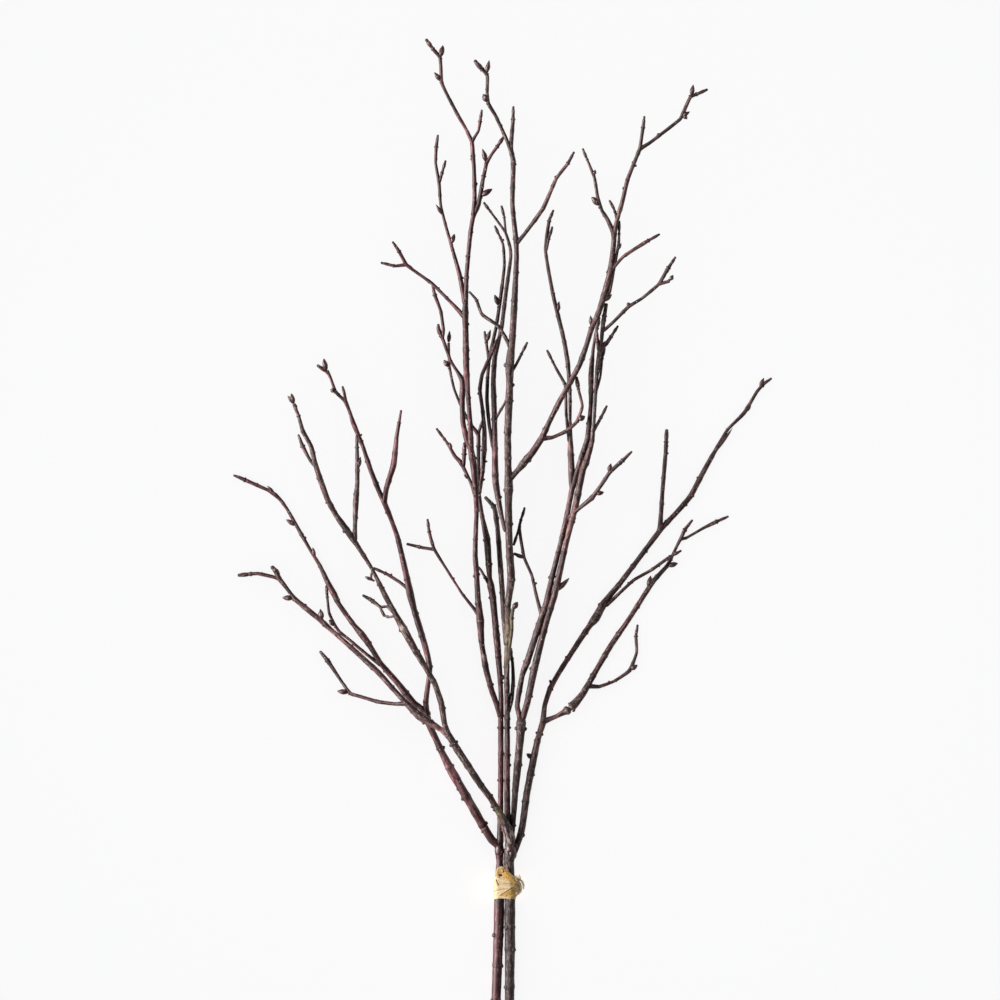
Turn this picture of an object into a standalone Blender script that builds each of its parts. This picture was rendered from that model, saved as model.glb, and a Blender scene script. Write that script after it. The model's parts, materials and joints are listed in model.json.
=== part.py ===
"""Willow twig: two cut, budded branches tied near the cut ends with a strip of raffia.

The bundle lies on its side. +Y points from the cut ends to the tips and +Z points up.
The origin is on the surface below the middle of the bundle.
"""

import math

import bmesh
import bpy
from mathutils import Vector

MM = 0.001  # the tables of shoots and buds are in millimetres
WELD_DISTANCE = 0.001  # points of one solid that are closer than this, in millimetres, are joined

# Wood
RING_STEP = 14.0  # distance between the rings of a shoot's tube
SHOOT_SIDES_LEVEL = 1  # bevel resolution of a shoot, which gives six sides
ROOT_DEPTH = 0.6  # a shoot that starts further off than this is led back to its parent's pith
BUTT_HEIGHT = 4.7  # height of the stems' pith at the cut ends
LEFT_TIE_HEIGHT = 6.6
RIGHT_TIE_HEIGHT = 7.3
LEFT_TOP_HEIGHT = 7.2
RIGHT_TOP_HEIGHT = 8.6

# Buds
BUD_SEGMENTS = 6
BUD_RINGS = 4
BUD_POINT = 0.45  # how strongly a bud narrows towards its tip
BUD_SINK = 1.5  # how far a bud reaches back into its shoot

# Raffia tie
TIE_CENTRE_Y = -304.5
TIE_WIDTH = 19.0
TIE_THICKNESS = 0.9
TIE_GAP = 0.4
TIE_OUTLINE_POINTS = 36
STRAND_SIDES_LEVEL = 1
STRAND_RINGS_PER_POINT = 2

MAROON_BARK = (0.115, 0.045, 0.045, 1.0)
GREY_BARK = (0.075, 0.062, 0.060, 1.0)
RAFFIA_STRAW = (0.80, 0.60, 0.30, 1.0)

# Each shoot: name, parent, height of its tip, and its points as (x, y, thickness).
LEFT_SHOOTS = [
    ("l1", "stem", 26, [
        (-3.6, -270, 7), (-10, -262, 9), (-17, -250, 7.5), (-25, -236, 8), (-40, -210, 8), (-48, -196, 8),
        (-55, -182, 6), (-61, -169, 6), (-66.5, -157, 6), (-69.5, -138, 5), (-68, -125, 4.5),
        (-66.3, -113, 4.6), (-66, -104, 4.8), (-70.5, -85, 5.5), (-76, -67, 5.8), (-80, -53.5, 5.5),
        (-83.2, -41, 7), (-85.8, -28, 5.6), (-89.8, -10.5, 5.2), (-94.8, 11, 4.7), (-100.8, 28, 4.2),
        (-107, 43, 5), (-112, 54, 4.6), (-119.5, 73, 4.5), (-126, 93, 3.6), (-135, 115, 4.3),
        (-137.5, 123, 3), (-142, 134, 3.9), (-147, 138.5, 3), (-151, 143, 3.2), (-154.5, 153, 2.6),
        (-157.5, 159.5, 3), (-167.5, 166.5, 2.6)]),
    ("l1_twiglet", "l1", 30, [(-141.5, 134, 2.5), (-142.8, 141, 2.6), (-144.5, 147.5, 1.8)]),
    ("l1_right", "l1", 34, [
        (-107, 43, 4.5), (-105, 55, 4.8), (-102, 65, 5), (-99, 75, 5.4), (-96.3, 93, 5.2),
        (-94.5, 107, 4.5), (-92, 126, 3.6)]),
    ("l1_side", "l1", 18, [
        (-84, -36, 3.5), (-93, -29, 3), (-104, -22, 3), (-117, -16, 2.2)]),
    ("l3", "l1", 1.8, [
        (-68, -147, 5), (-73, -143, 5), (-80, -137.5, 5), (-86, -131, 6), (-93, -122, 5.5), (-106, -107, 5),
        (-111, -101, 5), (-117, -91, 4.5), (-122, -83, 5.5), (-128, -75, 6), (-134, -68, 4.5),
        (-148, -48.5, 4.5), (-152, -40, 5.5), (-157, -31, 5), (-165, -14, 3.5), (-173, -1, 3),
        (-181, 13, 3.5), (-194, 36, 3), (-200, 44.5, 3.2), (-205, 49.5, 4), (-212, 54, 3),
        (-230, 62, 3.6), (-238, 65.5, 3), (-243, 67.3, 0.8)]),
    ("l3_twig", "l3", 4, [
        (-111, -103, 3.5), (-124, -93, 3), (-140, -79.5, 2.8), (-147, -74, 2.8), (-151, -68.5, 3),
        (-156.5, -57, 2.6), (-158.5, -40, 2.4), (-159.3, -32, 2.2)]),
    ("l2", "stem", 12, [
        (-3.2, -262, 6.5), (-2.9, -245, 5.2), (-2.2, -225, 4.8), (-2, -205, 4.8), (-2, -165, 4.8),
        (-2, -148, 4.8)]),
    ("limb_a", "l2", 58, [
        (-2.2, -150, 5), (-6, -138, 5), (-10, -127, 5), (-15.3, -107, 5.6), (-19.3, -83, 5),
        (-20.5, -63, 7), (-22.5, -44, 5.2), (-24, -18, 5), (-25, -5, 4.8), (-24.8, 8, 4.4),
        (-23.8, 35, 4.1), (-25, 58, 5.2), (-27, 80, 6.4), (-28.8, 90, 5.6), (-29.5, 113, 4.5),
        (-31.3, 138, 4.2), (-33, 164, 5.5), (-33.6, 200, 5.4), (-34, 213, 6), (-33.5, 226, 4.6),
        (-32.5, 250, 4), (-29.5, 283, 4), (-27, 299, 4.2), (-22, 311, 4.3), (-18, 333, 3.6),
        (-14.8, 348, 3.6)]),
    ("m_right", "limb_a", 60, [(-14.8, 348, 3), (-10, 356, 2.8), (-5, 363, 3.2), (1, 372, 2.6)]),
    ("t1", "limb_a", 62, [
        (-26.5, 301, 4), (-25.5, 318, 4), (-26, 343, 3.6), (-27, 355, 4), (-28, 367, 3.8),
        (-33, 378, 3), (-40, 390, 3.4), (-50, 409, 3), (-55, 420, 3.2), (-56.5, 443, 3.2),
        (-63.5, 451, 3), (-69.5, 460, 1.6)]),
    ("t1_right", "t1", 64, [
        (-28, 367, 3), (-25, 372, 2.6), (-22, 377, 2.6), (-20.5, 386, 3), (-19, 396, 1.6)]),
    ("a_left", "limb_a", 24, [
        (-22, -58, 4), (-26, -53, 3.2), (-37, -39, 2.4), (-50, -18.5, 2.4), (-62, 1, 3),
        (-66.3, 16, 3), (-68, 28, 1.4)]),
    ("a_left_spur", "a_left", 20, [(-62, 0.5, 2.6), (-72, 2, 3), (-87, 5.5, 2.6)]),
    ("a_low_twig", "limb_a", 34, [
        (-24.5, 49, 4.4), (-27, 56, 3.6), (-31, 65, 3), (-38.5, 79.5, 4), (-43, 84, 3.6),
        (-50, 96, 2.7), (-60, 109.5, 2)]),
    ("a_low_spur", "a_low_twig", 38, [(-35.5, 76, 3.2), (-34.8, 89.5, 4), (-34.5, 97, 3)]),
    ("m_left", "limb_a", 44, [
        (-29, 92, 5), (-32.5, 99, 5), (-36, 115, 4.6), (-36.7, 135, 5), (-36.3, 152, 5.4),
        (-42, 162, 3), (-47, 170, 2.8), (-53.5, 188, 3.2), (-58, 199, 3.8), (-58.2, 203.5, 2)]),
    ("m_left_up", "m_left", 46, [
        (-54.5, 190, 2.6), (-53.6, 198, 3), (-56, 215, 3), (-61.5, 230, 3.4), (-63.7, 240, 2)]),
    ("m_side", "limb_a", 44, [
        (-35, 210, 4.4), (-40, 215.5, 3.8), (-52, 228, 3), (-64, 239.8, 3.2), (-81, 252, 2.8),
        (-87, 256.5, 3.4), (-97, 255.5, 2.8), (-110, 258.5, 2)]),
    ("m_side_spur", "m_side", 48, [(-87, 256.5, 3), (-94, 269.5, 3.2), (-99.5, 277.5, 1.8)]),
    ("m_far", "limb_a", 52, [
        (-34.2, 222, 4.4), (-38.6, 246, 4.2), (-45, 269, 3.2), (-51, 290, 2.8), (-56, 310, 2.7),
        (-57.5, 330, 3.2), (-60.5, 348, 2.6), (-60, 362.5, 3.2), (-58.5, 373.5, 1.8)]),
    ("m_far_spur", "m_far", 54, [(-57, 331, 2.4), (-55, 338.5, 2.8), (-51.5, 350.5, 1.6)]),
    ("limb_b", "l2", 30, [
        (-2, -150, 4.8), (-1.6, -135, 4.5), (-2.3, -120, 4.8), (-4.6, -90, 6), (-7, -65, 5.8),
        (-9.5, -40, 6), (-11, -32.5, 7), (-12, -25, 4.4), (-13, -10, 5.8), (-14.5, 10, 6.2),
        (-18.7, 30, 4), (-21.8, 50, 4), (-22, 75, 3.4), (-22, 104, 3.8)]),
    ("b_spur", "limb_b", 22, [(-13, -30, 3), (-20, -18, 2.4), (-22.5, -15, 2.4)]),
    ("b_twig", "limb_b", 40, [
        (-22, 104, 3.6), (-29.5, 114, 2.8), (-37, 128, 2.6), (-44, 145, 2.4), (-48.2, 165, 2.6),
        (-49, 186, 2.6)]),
    ("b_tip", "limb_b", 32, [(-22, 105, 2.8), (-18.3, 117, 2.2)]),
    ("pale_limb", "limb_b", 43, [
        (-21, 52, 3.2), (-18.5, 70, 4), (-17, 90, 5), (-16.8, 109, 4.2), (-18.5, 127, 3.4),
        (-20.8, 144, 3.6), (-18.8, 157.5, 3.4), (-13, 171, 3.6), (-5.5, 188, 3.2), (-3.5, 192, 2)]),
]

# Each bud: the shoot it sits on, its base and its tip as (x, y), and its width.
LEFT_BUDS = [
    ("l1", (-158.5, 162), (-161.5, 172.5), 4), ("l1", (-151, 142.5), (-155.5, 144.5), 4),
    ("l3", (-187.5, 20.5), (-195.5, 27.5), 3.6), ("l3", (-169, -6), (-171.5, 2.5), 3),
    ("l3", (-205, 51.5), (-212.5, 58), 3), ("l3_twig", (-151, -69), (-157, -63), 4),
    ("limb_a", (-18, 317), (-9.5, 325), 4.5), ("limb_a", (-15.5, 350), (-18.5, 361), 4),
    ("t1", (-56, 421), (-62, 429.5), 4), ("t1", (-56, 445), (-54.5, 454), 4),
    ("a_low_twig", (-45, 90), (-48, 97), 3), ("m_far", (-56, 300), (-60.5, 311), 3),
    ("m_far", (-46, 274), (-43.5, 284.5), 3.5), ("b_twig", (-49, 187), (-48, 197.5), 3.5),
    ("b_twig", (-50, 163.5), (-53.5, 171), 4),
]

RIGHT_SHOOTS = [
    ("ra", "stem", 32, [
        (6, -278, 8), (7.5, -264, 9), (0.5, -244, 8.5), (-8, -230, 8), (-12, -223, 7), (-19, -213, 6),
        (-27, -201, 6.4), (-42, -178, 6.8), (-50.5, -164, 6)]),
    ("ra1", "ra", 12, [
        (-49, -167, 5.5), (-56, -161.5, 4.6), (-68, -154, 7), (-75, -149.5, 7.6), (-84, -141, 5.6),
        (-98, -126, 4.6), (-112, -110.5, 5), (-131, -93, 4.6), (-150, -76, 4.2), (-167, -61, 4.8),
        (-187, -44.5, 4.5), (-192, -38, 3.2), (-201.5, -26, 4.5), (-206, -24.5, 3.2), (-221, -21.3, 3.4),
        (-239, -22.8, 3)]),
    ("ra1_up", "ra1", 14, [(-201.5, -26, 4), (-205.5, -18, 4), (-208.7, -14.5, 3.4)]),
    ("ra1_side", "ra1", 10, [
        (-88, -138, 4.5), (-97, -138.6, 3.4), (-113, -136.5, 3.6), (-130, -131.5, 3.2),
        (-137, -129.5, 3.4), (-140, -126, 3), (-145, -119, 2.8), (-158.5, -99, 4), (-165, -91, 2.4)]),
    ("ra2", "ra", 50, [
        (-50, -166, 6), (-52.5, -157, 5), (-55.5, -138, 5.6), (-62, -119, 5), (-73, -100, 5.4),
        (-79, -90, 6), (-90, -70, 7), (-97.5, -56.5, 5), (-106, -41, 5), (-115.5, -21.5, 3.4),
        (-119, -15, 3.4), (-131, 4, 4.6), (-141, 18.5, 6), (-150.5, 32, 4.8), (-158, 46, 5),
        (-163.5, 61, 5.2), (-169, 78, 4.6), (-172.5, 93, 4), (-180, 107, 4), (-184, 121, 3.1),
        (-188, 131, 3.4)]),
    ("ra2_left", "ra2", 46, [
        (-168.5, 75, 3), (-173, 80, 2.8), (-180, 93, 3.8), (-184.2, 104, 1.4)]),
    ("ra2_up", "ra2", 46, [
        (-133.5, 9, 4.4), (-133, 25, 4), (-132.4, 43, 5.4), (-131, 60, 4), (-131, 79, 4),
        (-131.6, 103.5, 2.4)]),
    ("ra2_curl", "ra2", 44, [
        (-98, -57, 2.4), (-104.5, -50.8, 2.6), (-110, -51.3, 2.8), (-119, -44.7, 3.6),
        (-126.5, -40.5, 2.2)]),
    ("rb", "stem", 13, [
        (6.5, -268, 7), (5, -250, 5.5), (4, -215, 5), (3.8, -185, 4.9), (3.8, -150, 4.8)]),
    ("limb_d", "rb", 70, [
        (3.8, -152, 4.8), (3.7, -130, 5), (3.4, -100, 5), (5, -75, 6.6), (4.4, -50, 5.6),
        (7.4, -25, 7.2), (5.6, 3, 6.4), (4.9, 45, 6.8), (5.2, 56, 8), (4.6, 78, 6.2), (4.3, 105, 6.4),
        (5.5, 135, 7), (6, 150, 6.4), (6, 166, 8), (8.5, 191, 6), (10, 217, 6), (12.2, 262, 4.5),
        (11.8, 277, 4.8), (8.5, 311, 4.2), (9.3, 349, 4.6), (7.2, 361, 4), (9, 386, 3.4),
        (9.3, 399, 1.8)]),
    ("top_left", "limb_d", 74, [
        (8, 356, 3.8), (4, 367, 3.4), (-7, 391, 3.2), (-13, 401, 3.4), (-14.2, 411, 3),
        (-14.6, 424, 3.2), (-21, 433, 3), (-25.5, 440, 2.6)]),
    ("top_side", "limb_d", 76, [
        (12.5, 276, 3.8), (20, 285, 3.4), (36, 307, 4), (48, 334, 3.2), (58, 347, 3.2), (64, 358, 1.8)]),
    ("d_strand", "limb_d", 17, [
        (4.5, -146, 4), (7.6, -135, 4), (9.2, -118, 3.6), (8.5, -101, 3), (5.5, -86, 3)]),
    ("limb_c", "limb_d", 18, [
        (3, -84, 4.5), (0.5, -60, 4.4), (-0.8, -35, 4.8), (-2.8, -8, 4.8), (-4.8, 18, 4.4),
        (-8, 38.5, 4.4), (-16.5, 48, 3)]),
    ("limb_c0", "limb_d", 34, [
        (2, 18, 3.6), (-1.8, 33, 4.4), (-6.6, 61, 6), (-7.3, 97, 5.2), (-7.8, 123, 5), (-8.6, 152, 4.6),
        (-7.2, 174, 4.4), (-1.3, 200, 3.8), (3, 234, 3.6), (7.1, 264, 3.1), (6.5, 272, 3),
        (2, 286, 2.6), (-17.5, 313, 1.6)]),
    ("c0_tip", "limb_c0", 35, [(2.5, 285, 2), (1, 300, 2.2), (-1.5, 310, 1.6)]),
    ("c_dark", "limb_c0", 32, [
        (-9, 93, 3.4), (-12.3, 112, 3.2), (-14.4, 135, 3.6), (-13.8, 156, 3.2), (-12, 174, 3.2),
        (-6.3, 200, 3.2), (-2.3, 226, 3.4), (1.2, 256, 2.8), (0, 275, 2.6), (-7.5, 292, 1.6)]),
    ("c_dark_spur", "c_dark", 31, [(-12.7, 171, 2.6), (-15.7, 191, 2.6), (-16.6, 197, 1.4)]),
    ("c_link", "limb_c0", 41, [(-6.5, 118.5, 2.4), (1, 131, 2.4), (3.5, 136, 2.2)]),
    ("grey_diagonal", "limb_d", 64, [
        (8, 179, 4), (2, 191.5, 3.6), (-5, 202, 3.4), (-19, 212, 3.2), (-24, 225, 2.8),
        (-30.6, 232.6, 1.6)]),
    ("d_spur", "limb_d", 58, [(9, 162, 2.6), (15, 173, 2.6), (22, 187, 1.8)]),
    ("diag", "limb_d", 75, [
        (4.6, 62, 5), (13.5, 72, 4.8), (18, 77.5, 7), (27, 88.5, 6.4), (35, 101, 6), (42, 116, 4.5),
        (50.5, 133, 4.8), (60, 150, 5), (69, 167, 5), (75, 184, 4.6), (80, 200, 4.8), (86.5, 215, 5.4),
        (94.5, 242, 5.6), (98, 262, 5), (99.7, 283, 4.6), (94, 297, 4), (89, 305, 3.2), (85, 318, 3),
        (82, 335, 3), (71.5, 361, 1.6)]),
    ("right_top", "diag", 82, [
        (99.8, 284, 4.2), (102.6, 297, 4), (107, 312, 4), (112, 333, 3.8), (120, 353, 3.4),
        (123, 360, 3.8), (132, 366, 3.2), (159, 387, 3.2), (161.5, 392, 3.4), (168.5, 407, 3.2),
        (175, 410, 3), (184, 414, 2.4)]),
    ("right_top_spur", "right_top", 84, [(123, 360, 3), (126, 381, 3.2), (127, 390, 1.8)]),
    ("thin_strand", "diag", 72, [
        (95.5, 231, 2.8), (99.5, 252, 3), (104, 276, 2.6), (104.6, 296, 1.6)]),
    ("pink_twig", "diag", 78, [
        (97, 251, 2.8), (108, 263.5, 3), (127, 276, 3.6), (141, 284, 1.2)]),
    ("diag_low", "diag", 58, [
        (35, 100.5, 4.6), (44, 101.2, 3.5), (57, 107, 3.4), (66, 115, 3.2), (71.3, 129, 2.8),
        (67.8, 145, 2.6), (66, 156, 3)]),
    ("rc", "stem", 15, [
        (7.5, -266, 6), (8.8, -250, 4.2), (11.2, -215, 6), (12.7, -200, 7), (15.6, -168, 7.2),
        (16.3, -156, 9), (17, -150, 8)]),
    ("limb_e", "rc", 54, [
        (15.5, -152, 5), (12.9, -140, 4.6), (17.5, -112, 5), (22, -100, 6), (33, -66, 6),
        (38.5, -50, 6), (44, -25, 5), (50.3, 0, 4.6), (57, 28, 5), (61.8, 53, 5), (70, 81.5, 5),
        (76, 100, 5), (79, 131, 4), (79.3, 159, 5), (81.3, 182, 3), (86.5, 210, 3)]),
    ("limb_f", "rc", 56, [
        (17.5, -152, 5.5), (22.5, -135, 6), (28, -108, 6.6), (38.7, -66, 5.6), (46.5, -40, 6),
        (57.3, 8, 5), (66, 43, 6), (71.8, 72, 6), (75, 80, 6), (80, 97, 4.2), (82, 116, 2.8),
        (84, 153, 3.6), (87.7, 181, 5), (93.5, 186.5, 4), (103.6, 201.8, 1.4)]),
    ("f_dark", "limb_f", 66, [(88.3, 184, 3), (90, 203, 4), (93, 222, 3.4)]),
    ("f_thin", "limb_f", 54, [
        (83.4, 141, 2), (87.4, 155, 2.2), (89.1, 171, 2.2), (91.5, 184, 2.4)]),
    ("f_low", "limb_f", 50, [(80.8, 106, 2.8), (87.5, 118, 2.8), (93.6, 130, 1.8)]),
    ("f_right", "f_dark", 68, [
        (90, 197, 3), (99, 204.8, 3), (113, 218.8, 3.4), (125, 226.3, 2.9), (140, 239, 3.2),
        (148, 252.5, 3.6), (155.3, 263.7, 1.8)]),
    ("f_right_spur", "f_right", 70, [(140, 239, 2.7), (150, 241.8, 3)]),
    ("ef_upper", "limb_e", 50, [
        (60.5, 58, 5), (61.8, 70, 6.4), (60.8, 90, 5.4), (60.4, 115, 2.9), (60.3, 140, 3.2),
        (58.3, 168, 4.2), (54.8, 189, 4), (45, 230, 3.6), (38.2, 270, 3), (41.5, 296, 3.2),
        (45.5, 306, 1.6)]),
    ("ef_left", "ef_upper", 48, [
        (59.5, 98, 3), (56.9, 122, 2.8), (56, 148, 3), (48, 163, 2.6), (39.5, 180, 1.4)]),
    ("ef_tip", "ef_upper", 52, [(38.8, 269, 2.2), (41, 279, 2.6), (44.5, 291, 1.4)]),
    ("e_left", "limb_e", 34, [
        (34.5, -58, 3.4), (29.3, -38, 3), (26, -23, 2.8), (19, -6.5, 3), (14.8, 21, 2.8),
        (19.6, 38.5, 1.6)]),
    ("e_right", "limb_e", 62, [
        (56.5, 26.5, 3.6), (68, 37, 3.5), (80, 47, 4.5), (88, 58, 3.5), (96.3, 70, 3.6),
        (107, 80, 3.6), (116, 88.7, 2)]),
    ("rd", "stem", 9, [
        (8.5, -270, 6), (15, -255, 6.4), (21.5, -219, 6.4), (27.8, -187, 6.4), (31.5, -170, 5.4),
        (36.5, -154, 6)]),
    ("rd1", "rd", 2.2, [
        (36.3, -153, 5), (37.7, -139.7, 4.4), (42.4, -125, 5), (51, -109.6, 4.6), (67.6, -83.7, 5),
        (78.6, -67.4, 5.8), (83.4, -61.4, 8), (91.5, -47, 6), (104.3, -31.5, 5), (122, -8.2, 4.6),
        (143, 19.5, 4.8), (157.5, 35, 4.5), (168.9, 48.4, 5), (180.8, 70.9, 4.6), (194.8, 95.7, 3.6),
        (202.3, 108.3, 2.8), (217.4, 123.6, 3.6), (228.8, 142.6, 3), (235.4, 150, 3.2),
        (242.1, 154.8, 1.6)]),
    ("rd1_up", "rd1", 22, [
        (141.5, 18, 4.6), (142.5, 35, 4.1), (143.8, 55, 3.8), (146.4, 87, 3.8), (147.4, 108.8, 3)]),
    ("rd1_twig", "rd1", 8, [
        (93.5, -49.5, 3.4), (107, -37, 3), (118, -27, 3), (134, -17.8, 3), (149.5, -6.8, 3),
        (160.8, -0.4, 1.4)]),
    ("rd2", "rd", 2, [
        (37.5, -154, 5), (48, -149.8, 4), (57.7, -144.6, 7.4), (62.3, -140.5, 8), (72, -129.4, 6),
        (82.2, -111.5, 5.2), (97.4, -85.7, 5), (115, -60, 4.6), (135.5, -28, 4.5), (148, -14, 3.6),
        (156.4, 3, 2.8), (160, 9.5, 3.2), (164.8, 10.7, 2.5), (181.1, 20, 2.8), (190.6, 24.7, 3.6),
        (203.3, 30.4, 1.2)]),
    ("rd2_up", "rd2", 6, [(160, 9.5, 2.8), (163.7, 18, 3.4), (170.8, 27.2, 2)]),
    ("rd2_side", "rd2", 3, [
        (78.5, -122.7, 4), (86.7, -123, 3.4), (100.5, -118, 2.8), (114, -108.5, 3.6),
        (120.3, -92.6, 2.8), (119.8, -77, 3), (121.3, -67.2, 1.8)]),
]

RIGHT_BUDS = [
    ("ra1", (-161, -62.5), (-164.5, -53), 4.5), ("ra1", (-188, -44), (-199, -43), 4.6),
    ("ra1_side", (-139, -129), (-149.5, -127), 4.2), ("ra2", (-188.5, 131.5), (-190.5, 141), 4),
    ("ra2_up", (-130, 72), (-128, 84), 3.5), ("top_left", (-14, 402), (-18, 410), 5),
    ("top_left", (-14.5, 430), (-12.5, 441), 3.5), ("c_dark", (-3, 220), (-7.5, 230), 4),
    ("c_dark_spur", (-13.8, 187), (-11, 198.5), 3.4), ("diag", (88, 310), (79.5, 317.5), 5),
    ("diag", (78, 200), (78.5, 211), 3.5), ("diag", (91.5, 223), (98, 230), 4),
    ("right_top", (161, 390), (168, 394), 3.5), ("right_top", (169, 409), (171, 418.5), 4),
    ("diag_low", (68, 116.5), (74, 120.5), 4.5), ("limb_f", (50, -39), (59.8, -25), 4.5),
    ("ef_upper", (49.3, 213.5), (50.5, 224), 3.3), ("e_right", (83.5, 48.5), (91, 52), 3.6),
    ("e_right", (95, 69), (97, 78), 4), ("f_right_spur", (150.5, 242), (153, 247.3), 3.5),
    ("rd", (26.5, -188), (21, -183.5), 4), ("rd1", (231, 146.8), (234.8, 155.2), 3.5),
    ("rd1", (218.5, 123), (223.6, 130), 3), ("rd2", (149.5, -15.5), (157.8, -12), 4),
    ("rd2", (129.5, -33.5), (133.2, -23), 4), ("rd2_side", (114.5, -108.6), (121.2, -103.4), 4),
]

# Each stem: (x, y, height, thickness) from the cut end to its first fork.
LEFT_STEM = [
    (-8.5, -459, BUTT_HEIGHT, 9.4), (-6.3, -405, 5.4, 9), (-4.6, -350, 6.1, 9),
    (-3.7, -315, LEFT_TIE_HEIGHT, 8.6), (-3, -290, LEFT_TIE_HEIGHT, 7.4), (-3, -278, 6.9, 6.6),
    (-3.6, -266, LEFT_TOP_HEIGHT, 8)]
RIGHT_STEM = [
    (5.2, -459, BUTT_HEIGHT, 9.4), (5.6, -405, 5.6, 8.8), (6, -350, 6.6, 9.4),
    (6.2, -315, RIGHT_TIE_HEIGHT, 9.6), (5.9, -290, RIGHT_TIE_HEIGHT, 9), (5.6, -280, 7.9, 9.4),
    (7, -268, RIGHT_TOP_HEIGHT, 9.5)]


def smooth_path(knots, rings):
    """Evenly spaced points of a smooth curve through (x, y, height, thickness) knots."""
    knots = [Vector(knot) for knot in knots]
    marks = [0.0]
    for before, after in zip(knots, knots[1:]):
        marks.append(marks[-1] + (after - before).length)
    last = len(knots) - 1
    slopes = []
    for index in range(len(knots)):
        low = max(index - 1, 0)
        high = min(index + 1, last)
        slopes.append((knots[high] - knots[low]) / (marks[high] - marks[low]))
    path = []
    span = 0
    for ring in range(rings + 1):
        mark = marks[-1] * ring / rings
        while span < last - 1 and mark > marks[span + 1]:
            span += 1
        length = marks[span + 1] - marks[span]
        t = (mark - marks[span]) / length
        path.append(
            knots[span] * (2 * t**3 - 3 * t**2 + 1)
            + knots[span + 1] * (3 * t**2 - 2 * t**3)
            + slopes[span] * length * (t**3 - 2 * t**2 + t)
            + slopes[span + 1] * length * (t**3 - t**2))
    return path


def nearest_point(path, x, y):
    """The point of a path that is nearest to x, y as seen from above."""
    best = path[0]
    best_distance = math.inf
    for before, after in zip(path, path[1:]):
        run = after - before
        flat = run.x**2 + run.y**2
        t = ((x - before.x) * run.x + (y - before.y) * run.y) / flat
        point = before + run * min(max(t, 0.0), 1.0)
        distance = math.hypot(point.x - x, point.y - y)
        if distance < best_distance:
            best = point
            best_distance = distance
    return best


def shoot_path(parent_path, tip_height, points):
    """A shoot leaves its parent's pith, rises quickly at first and levels out at its tip."""
    root = nearest_point(parent_path, points[0][0], points[0][1])
    flat = [Vector((x, y, thickness)) for x, y, thickness in points]
    if math.hypot(root.x - flat[0].x, root.y - flat[0].y) > ROOT_DEPTH:
        flat.insert(0, Vector((root.x, root.y, flat[0].z)))
    marks = [0.0]
    for before, after in zip(flat, flat[1:]):
        marks.append(marks[-1] + (after - before).length)
    knots = []
    for point, mark in zip(flat, marks):
        rise = math.sin(math.pi / 2 * mark / marks[-1])
        knots.append((point.x, point.y, root.z + (tip_height - root.z) * rise, point.z))
    rings = max(len(knots) - 1, round(marks[-1] / RING_STEP))
    return smooth_path(knots, rings)


def branch_paths(stem, shoots):
    """The path of every shoot of a branch, by name."""
    paths = {"stem": smooth_path(stem, len(stem) - 1)}
    for name, parent, tip_height, points in shoots:
        paths[name] = shoot_path(paths[parent], tip_height, points)
    return paths


def make_collection(name):
    collection = bpy.data.collections.new(name)
    bpy.context.scene.collection.children.link(collection)
    return collection


def make_material(name, colour, roughness):
    material = bpy.data.materials.new(name)
    material.use_nodes = True
    shader = material.node_tree.nodes["Principled BSDF"]
    shader.inputs["Base Color"].default_value = colour
    shader.inputs["Roughness"].default_value = roughness
    shader.inputs["Metallic"].default_value = 0.0
    material.diffuse_color = colour
    return material


def mesh_from_curve(curve_object):
    """A closed mesh object in the place of a curve object."""
    evaluated = curve_object.evaluated_get(bpy.context.evaluated_depsgraph_get())
    mesh = bpy.data.meshes.new_from_object(evaluated)
    shape = bmesh.new()
    shape.from_mesh(mesh)
    bmesh.ops.remove_doubles(shape, verts=shape.verts, dist=WELD_DISTANCE * MM)
    bmesh.ops.recalc_face_normals(shape, faces=shape.faces)
    shape.to_mesh(mesh)
    shape.free()
    solid = bpy.data.objects.new(curve_object.name + "_solid", mesh)
    solid.matrix_world = curve_object.matrix_world.copy()
    curve = curve_object.data
    bpy.data.objects.remove(curve_object)
    bpy.data.curves.remove(curve)
    return solid


def make_tube(name, path, sides_level):
    """A round tube along a path of (x, y, height, thickness) points."""
    curve = bpy.data.curves.new(name, "CURVE")
    curve.dimensions = "3D"
    curve.bevel_depth = MM
    curve.bevel_resolution = sides_level
    curve.use_fill_caps = True
    spline = curve.splines.new("POLY")
    spline.points.add(len(path) - 1)
    for spline_point, point in zip(spline.points, path):
        spline_point.co = (point[0] * MM, point[1] * MM, point[2] * MM, 1.0)
        spline_point.radius = point[3] / 2
    curve_object = bpy.data.objects.new(name, curve)
    bpy.context.scene.collection.objects.link(curve_object)
    return mesh_from_curve(curve_object)


def make_bud(name, parent_path, base, tip, width):
    """A pointed egg that starts in the pith of its shoot."""
    root = nearest_point(parent_path, base[0], base[1])
    end = Vector((tip[0], tip[1], root.z))
    start = Vector((root.x, root.y, root.z))
    start -= (end - start).normalized() * BUD_SINK
    axis = end - start
    shape = bmesh.new()
    bmesh.ops.create_uvsphere(shape, u_segments=BUD_SEGMENTS, v_segments=BUD_RINGS, radius=1.0)
    turn = Vector((0.0, 0.0, 1.0)).rotation_difference(axis)
    for vertex in shape.verts:
        along = (vertex.co.z + 1.0) / 2
        spread = width / 2 * (1.0 - BUD_POINT * along**2)
        local = Vector((vertex.co.x * spread, vertex.co.y * spread, along * axis.length))
        vertex.co = (start + turn @ local) * MM
    mesh = bpy.data.meshes.new(name)
    shape.to_mesh(mesh)
    shape.free()
    return bpy.data.objects.new(name, mesh)


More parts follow.
